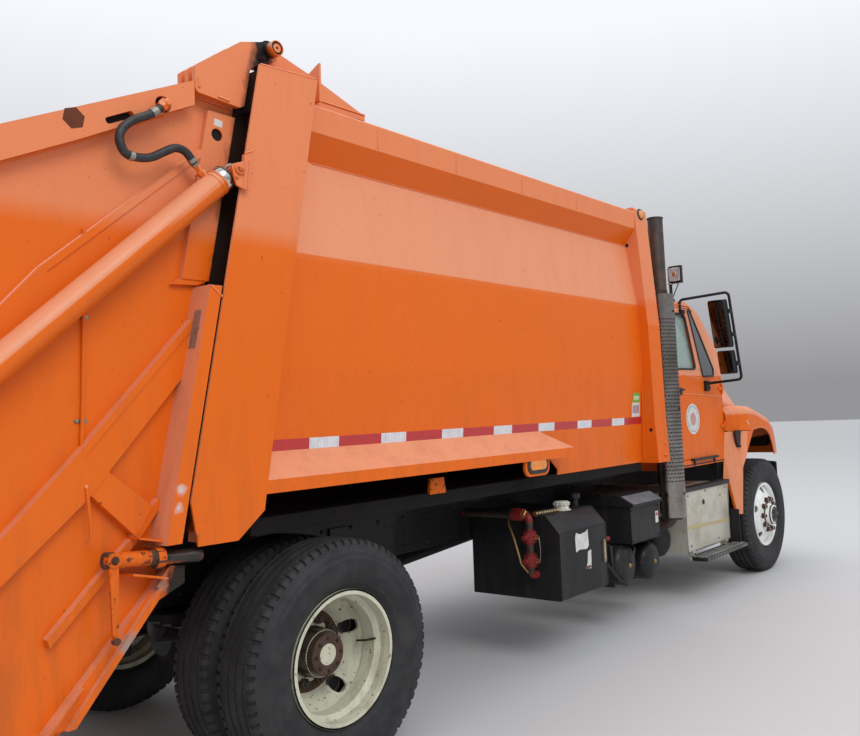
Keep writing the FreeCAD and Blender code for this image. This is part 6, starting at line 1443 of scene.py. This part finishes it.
room.box(3.68, 4.69, -0.9, 0.9, 1.1015, 1.106, rubber_trim)
for y in (-0.45, 0.45):
    room.box(4.395, 4.56, y - 0.19, y + 0.19, 2.425, 2.436, dash_plastic)
room.done("cab_inside_details", "root", sharp=30)

# %% [markdown]
# ### Left side: fuel tank
# The tank has steel straps over rubber, a filler cap on a neck, a drain and two treads whose holes
# have raised rims.

# %% Fuel tank details
tank = Sketch()
for x, way in ((3.78, -1), (4.64, 1)):
    tank.lathe((x, 0.8, 0.64), (way, 0, 0), [(0, 0.255), (0.006, 0.252), (0.012, 0.236), (0.004, 0.226),
                                             (0.01, 0.0)], aluminium, 48)
for x in (3.92, 4.485):
    tank.lathe((x, 0.8, 0.64), (1, 0, 0), [(0, 0.2585), (0.05, 0.2585)], rubber_trim, 64)
    tank.lathe((x + 0.006, 0.8, 0.64), (1, 0, 0), [(0, 0.261), (0.038, 0.261)], aluminium, 64)
    tank.bolt((x + 0.025, 0.56, 0.76), (0, -1, 0), 0.009, zinc)
neck = Vector((4.22, 0.985, 0.815))
slope = Vector((0, 0.72, 0.69)).normalized()
tank.lathe(neck, slope, [(-0.01, 0.048), (0.02, 0.048), (0.022, 0.054), (0.046, 0.054), (0.05, 0.046),
                         (0.05, 0)], zinc, 32)
for k in range(12):
    a = 2 * math.pi * k / 12
    over = slope.orthogonal().normalized()
    grip = neck + (over * math.cos(a) + slope.cross(over) * math.sin(a)) * 0.0535
    tank.rod(grip + slope * 0.024, grip + slope * 0.044, 0.004, zinc, 6)
tank.lathe((4.22, 0.8, 0.386), (0, 0, -1), [(0, 0.018), (0.01, 0.018)], brass, 6)
for z in (0.386, 0.786):
    for row, y in enumerate((1.03, 1.066, 1.102, 1.136)):
        for k in range(20):
            x = 3.92 + 0.0325 * k + (0.016 if row % 2 else 0)
            tank.lathe((x, y, z - 0.0005), (0, 0, 1), [(0, 0.013), (0.0035, 0.01), (0.004, 0.0078),
                                                       (0.0005, 0.0075)], aluminium, 12)
            # The tread's holes are dark discs: painted shade.
            tank.lathe((x, y, z), (0, 0, 1), [(0, 0.0074), (0.0008, 0.0074)], void, 10)
for x in (3.915, 4.545):
    for z in (0.42, 0.56, 0.74):
        tank.bolt((x, 1.06, z), (0, 1, 0), 0.007, zinc)
tank.done("fuel_tank_details", "root")
# %% [markdown]
# ## The rear: sill, lamps and packer
# The loading sill wears bright where bins are set down. Below it hang the tail lamps, in rubber
# rings. On the roof's rear edge sit three red marker lamps. The packer gets a bolted wear edge on
# the blade, grease nipples at its pins and the hydraulic pipes of its cylinders.

# %% Sill, tail lamps and roof markers
tail = Sketch()
tail.box(-2.298, -2.226, -1.04, 1.04, 0.9595, 0.9612, worn)
for side in (-1, 1):
    tail.box(-2.284, -2.236, side * 0.64, side * 1.02, 0.716, 0.832, orange)
    for y, mat in ((0.705, clear_lens), (0.83, amber), (0.955, red_lens)):
        tail.lathe((-2.284, side * y, 0.774), (-1, 0, 0), [(0, 0.052), (0.006, 0.052), (0.008, 0.047)],
                   rubber_trim, 32)
        tail.lathe((-2.286, side * y, 0.774), (-1, 0, 0), [(0, 0.046), (0.009, 0.044), (0.012, 0.03),
                                                           (0.013, 0)], mat, 32)
    for y in (0.66, 1.0):
        tail.bolt((-2.26, side * y, 0.716), (0, 0, -1), 0.007, zinc)
    tail.pipe([(-2.23, side * 0.83, 0.77), (-2.15, side * 0.88, 0.79), (-2.04, side * 0.96, 0.76),
               (-1.93, side * 1.0, 0.66)], 0.007, rubber_trim, 8)
    tail.weld([(-2.223, side * 1.047, 0.96), (-2.223, side * 1.047, 0.835)], orange, 0.005)
    tail.weld([(-2.06, side * 1.045, 2.318), (-0.7, side * 1.045, 3.0)], orange, 0.005, 0.02)
for k in range(3):
    y = (k - 1) * 0.16
    tail.plate((-2.106, y, 2.262), (0, 1, 0), (0.66, 0, 0.75), (0.11, 0.046), -0.004, rubber_trim, 0.016)
    tail.plate((-2.109, y, 2.2655), (0, 1, 0), (0.66, 0, 0.75), (0.094, 0.032), -0.006, red_lens, 0.012)
tail.done("tail_details", "tailgate")

# %% [markdown]
# ### Packer and blade
# The wear edge is a bolted steel bar, bright from use. It could be part of the blade's paint, but
# its own bolts and its step are what one notices inside the hopper.

# %% Packer and blade details
U = Vector((math.cos(math.radians(50.5)), 0, math.sin(math.radians(50.5))))
N = Vector((-U.z, 0, U.x))
PIVOT = Vector((-1.612, 0, 1.1)) + U * 0.7


def on_track(s, n, y):
    """A place s along the packer's track from the blade's pivot, n behind the track."""
    return PIVOT + U * s + N * n + Vector((0, y, 0))


blade = Sketch()
corners = [on_track(s, n, -0.985) for s, n in ((0.034, -0.625), (0.038, -0.625), (0.038, -0.545),
                                               (0.034, -0.545))]
blade.prism(corners, (0, 1.97, 0), worn)
for k in range(12):
    blade.lathe(on_track(0.038, -0.585, -0.92 + 0.1672 * k), U, [(0, 0.016), (0.004, 0.015), (0.0045, 0.0)],
                dark_steel, 14)
for y in (-0.7, -0.42, -0.14, 0.14, 0.42, 0.7):
    rib = [on_track(0.03, -0.52, y), on_track(0.044, -0.47, y), on_track(0.044, -0.11, y),
           on_track(0.03, -0.06, y)]
    blade.prism(rib, (0, 0.01, 0), orange)
blade.done("blade_details", BODY["sweep_blade"])
pack = Sketch()
for k in range(9):
    pack.weld([on_track(0.08, -0.031, -0.96 + 0.24 * k), on_track(0.68, -0.031, -0.96 + 0.24 * k)], orange,
              0.004, 0.012)
for y in (-0.96, -0.33, 0.33, 0.96):
    for way in (-1, 1):
        pack.lathe(on_track(0, 0, y + way * 0.02), (0, way, 0), [(0, 0.036), (0.006, 0.034)], greasy, 24)
    pack.lathe(on_track(0.0, 0.061, y), N, [(0, 0.006), (0.008, 0.004), (0.012, 0.004)], brass, 8)
pack.done("packer_details", BODY["packer_carriage"])
lines = Sketch()
for side in (-1, 1):
    y = side * 0.7
    for s, size in ((0.215, 0.053), (0.86, 0.054)):
        lines.lathe(on_track(s, 0.125, y), U, [(0, 0.0515), (0.004, size), (0.03, size), (0.034, 0.0515)],
                    orange, 36)
    run = [on_track(0.25, 0.18, y), on_track(0.25, 0.2, y), on_track(0.84, 0.2, y), on_track(0.905, 0.2, y)]
    lines.pipe(run, 0.0085, zinc, 8)
    for s in (0.4, 0.7):
        lines.lathe(on_track(s, 0.125, y), U, [(0, 0.051), (0.002, 0.0525), (0.016, 0.0525), (0.018, 0.051)],
                    zinc, 28)
lines.done("packer_cylinder_lines", BODY["tailgate_hood"])

# %% [markdown]
# ## Tailgate locks
# The screw of each lock is greased and its tube is rusty, with a cross pin and a nut. A thread is
# too fine to be in the CAD, so it is a ripple on a thin sleeve here.

# %% Lock details
for hand, flip in SIDES:
    lock = Sketch(flip)
    first, last = Vector((-0.862, 1.136, 1.0955)), Vector((-0.702, 1.136, 1.0835))
    count = 46
    places = [first.lerp(last, k / count) for k in range(count + 1)]
    lock.pipe(places, [0.0262 if k % 2 else 0.0236 for k in range(count + 1)], greasy, 14)
    lock.lathe((-0.895, 1.136, 1.0985), (1, 0, -0.06), [(0, 0.04), (0.034, 0.04), (0.037, 0.034)], dark_rust,
               6)
    lock.lathe((-1.084, 1.136, 1.1195), (1, 0, -0.09), [(0, 0.0305), (0.03, 0.0305), (0.032, 0.0285)],
               dark_rust, 24)
    lock.lathe((-0.915, 1.136, 1.104), (1, 0, -0.09), [(0, 0.03), (0.018, 0.03)], dark_rust, 24)
    lock.bolt((-1.061, 1.168, 1.119), (0, 1, 0), 0.012, rusty)
    lock.rod((-1.0535, 1.15, 0.836), (-1.0535, 1.172, 0.836), 0.013, rusty)
    lock.done("lock_details_" + hand, BODY["tailgate_locks"])
# %% [markdown]
# ## Under the truck
# Leaf springs are clamped to the axle by U-bolts and round brake chambers push the brakes. Rivets
# and bolts run along the frame rails, and air pipes lie in clips on them. They are dark and partly
# hidden, but they break the light under the truck the way the real ones do.

# %% Axles, springs and brakes
under = Sketch()
for side in (-1, 1):
    y0, y1 = side * 0.44, side * 0.534
    for x, low, high in ((0.0, 0.436, 0.712), (5.34, 0.452, 0.59)):
        for dx in (-0.075, 0.075):
            for y in (y0, y1):
                under.rod((x + dx, y, low), (x + dx, y, high), 0.01, dark_steel, 10)
                under.lathe((x + dx, y, low + 0.004), (0, 0, -1), [(0, 0.017), (0.016, 0.017)], zinc, 6)
            under.rod((x + dx, y0, high), (x + dx, y1, high), 0.01, dark_steel, 10)
        under.box(x - 0.1, x + 0.1, min(y0, y1) - 0.016, max(y0, y1) + 0.016, low + 0.004, low + 0.022, black)
    chamber = Vector((-0.23, side * 0.33, 0.64))
    under.lathe(chamber, (-1, 0, 0.12), [(0, 0.06), (0.02, 0.078), (0.06, 0.082), (0.064, 0.09),
                                         (0.078, 0.09), (0.082, 0.08), (0.18, 0.078), (0.2, 0.05),
                                         (0.202, 0.0)], black, 32)
    under.rod(chamber, chamber + Vector((0.15, 0, -0.06)), 0.012, dark_steel, 10)
    under.box(-0.24, -0.06, side * 0.33 - 0.03, side * 0.33 + 0.03, 0.56, 0.584, black)
    under.pipe([chamber + Vector((-0.1, 0, 0.078)), chamber + Vector((-0.06, 0, 0.18)),
                (0.0, side * 0.3, 0.86), (0.3, side * 0.36, 0.88)], 0.008, rubber_trim, 8)
    for x, lean in ((5.52, 0.1), (0.42, 0.16)):
        foot = Vector((x - 0.12, side * 0.38, 0.52 if x > 1 else 0.53))
        head = foot + Vector((lean, 0, 0.3))
        under.rod(foot, foot.lerp(head, 0.55), 0.03, black, 16)
        under.rod(foot.lerp(head, 0.5), head, 0.02, chrome, 16)
        for end in (foot, head):
            under.rod(end - Vector((0, 0.026, 0)), end + Vector((0, 0.026, 0)), 0.022, rubber_trim, 16)
for k in range(12):
    a = 2 * math.pi * k / 12
    under.bolt((0.192, 0.172 * math.cos(a), AXLE_Z + 0.172 * math.sin(a)), (1, 0, 0), 0.01, dark_steel)
under.lathe((0.18, 0, AXLE_Z), (1, 0, 0), [(0, 0.196), (0.014, 0.196)], black, 40)
for x, z in ((0.37, 0.528), (3.79, 0.834)):
    under.lathe((x, 0, z), (0.996, 0, 0.09), [(-0.04, 0.062), (0.04, 0.062)], dark_steel, 20)
    under.rod((x, -0.07, z), (x, 0.07, z), 0.024, dark_steel)
    under.rod((x, 0, z - 0.07), (x, 0, z + 0.07), 0.024, dark_steel)
under.done("axle_details", "root")

# %% Frame rails: rivets, pipes and clips
rails = Sketch()
for side in (-1, 1):
    for k in range(30):
        x = -0.56 + 0.215 * k
        for z in (0.8, 0.968):
            if abs(x - 1.8) > 0.12 or side > 0:
                rails.lathe((x, side * 0.432, z), (0, side, 0),
                            [(0, 0.014), (0.004, 0.012), (0.008, 0.006), (0.009, 0)], black, 10)
    rails.pipe([(-0.5, side * 0.408, 0.9), (1.2, side * 0.408, 0.906), (3.4, side * 0.408, 0.9)], 0.01,
               rubber_trim, 8)
    rails.pipe([(-0.5, side * 0.41, 0.86), (1.6, side * 0.41, 0.855), (3.4, side * 0.41, 0.862)], 0.007, zinc,
               8)
    for k in range(8):
        rails.box(-0.3 + 0.45 * k, -0.27 + 0.45 * k, side * 0.4, side * 0.424, 0.846, 0.92, zinc)
    for x in (4.02, 4.66):
        rails.lathe((x + 0.05, side * 0.392, 1.012), (0, 0, 1),
                    [(0, 0.048), (0.012, 0.052), (0.036, 0.052), (0.046, 0.048)], rubber_trim, 20)
rails.done("frame_details", "root")

# %% [markdown]
# ### Engine
# Under the tilting hood the engine is one plain block in the CAD model. Its pulleys, belt, valve
# cover, pipes and the radiator's fins are added here, because the hood opens.

# %% Engine details
motor = Sketch()
motor.box(4.96, 5.6, -0.14, 0.14, 1.428, 1.47, iron)
for k in range(6):
    for side in (-1, 1):
        motor.bolt((5.0 + 0.112 * k, side * 0.122, 1.47), (0, 0, 1), 0.009, zinc)
motor.lathe((5.32, 0.0, 1.468), (0, 0, 1), [(0, 0.042), (0.016, 0.042), (0.018, 0.036), (0.03, 0.03),
                                            (0.031, 0)], black, 24)
for y, z, r in ((0.0, 0.86, 0.11), (0.0, 1.14, 0.085), (0.2, 1.28, 0.05), (-0.19, 1.25, 0.06)):
    motor.lathe((5.68, y, z), (1, 0, 0), [(0, r), (0.008, r), (0.014, r - 0.01), (0.024, r - 0.01), (0.03, r),
                                           (0.036, r), (0.036, 0)], dark_steel, 32)
motor.pipe([(5.699, 0.106, 0.88), (5.699, 0.246, 1.265), (5.699, 0.215, 1.327), (5.699, -0.17, 1.308),
            (5.699, -0.25, 1.262), (5.699, -0.108, 0.845), (5.699, 0.0, 0.751), (5.699, 0.1, 0.83),
            (5.699, 0.106, 0.88)], 0.006, rubber_trim, 6)
for side, points in ((1, ((5.2, 0.33, 1.28), (5.2, 0.42, 1.3), (5.6, 0.43, 1.33), (5.76, 0.33, 1.405))),
                     (-1, ((5.3, -0.33, 0.82), (5.3, -0.39, 0.8), (5.64, -0.36, 0.79), (5.742, -0.3, 0.84)))):
    motor.pipe(points, 0.03, hose_rubber, 14)
for k in range(4):
    motor.lathe((5.06 + 0.135 * k, -0.33, 1.18), (0, -1, -0.3), [(0, 0.034), (0.06, 0.034)], rusty, 16)
motor.pipe([(5.0, -0.392, 1.162), (5.52, -0.392, 1.162)], 0.04, rusty, 16)
motor.lathe((5.28, -0.4, 1.3), (1, 0, 0), [(0, 0.055), (0.02, 0.09), (0.06, 0.092), (0.08, 0.06)], rusty, 28)
for k in range(5):
    motor.box(4.98, 5.6, 0.33, 0.336, 0.76 + 0.1 * k, 0.772 + 0.1 * k, iron)
motor.lathe((5.1, 0.352, 1.0), (0, 0, -1), [(0, 0.05), (0.18, 0.05), (0.19, 0.04)], cap_white, 28)
for k in range(40):
    motor.box(5.736, 5.74, -0.338, 0.338, 0.812 + 0.0146 * k, 0.8155 + 0.0146 * k, aluminium)
motor.lathe((5.785, -0.24, 1.4), (0, 0, 1), [(0, 0.026), (0.016, 0.03), (0.022, 0.026), (0.023, 0)], zinc, 20)
motor.done("engine_details", "root")
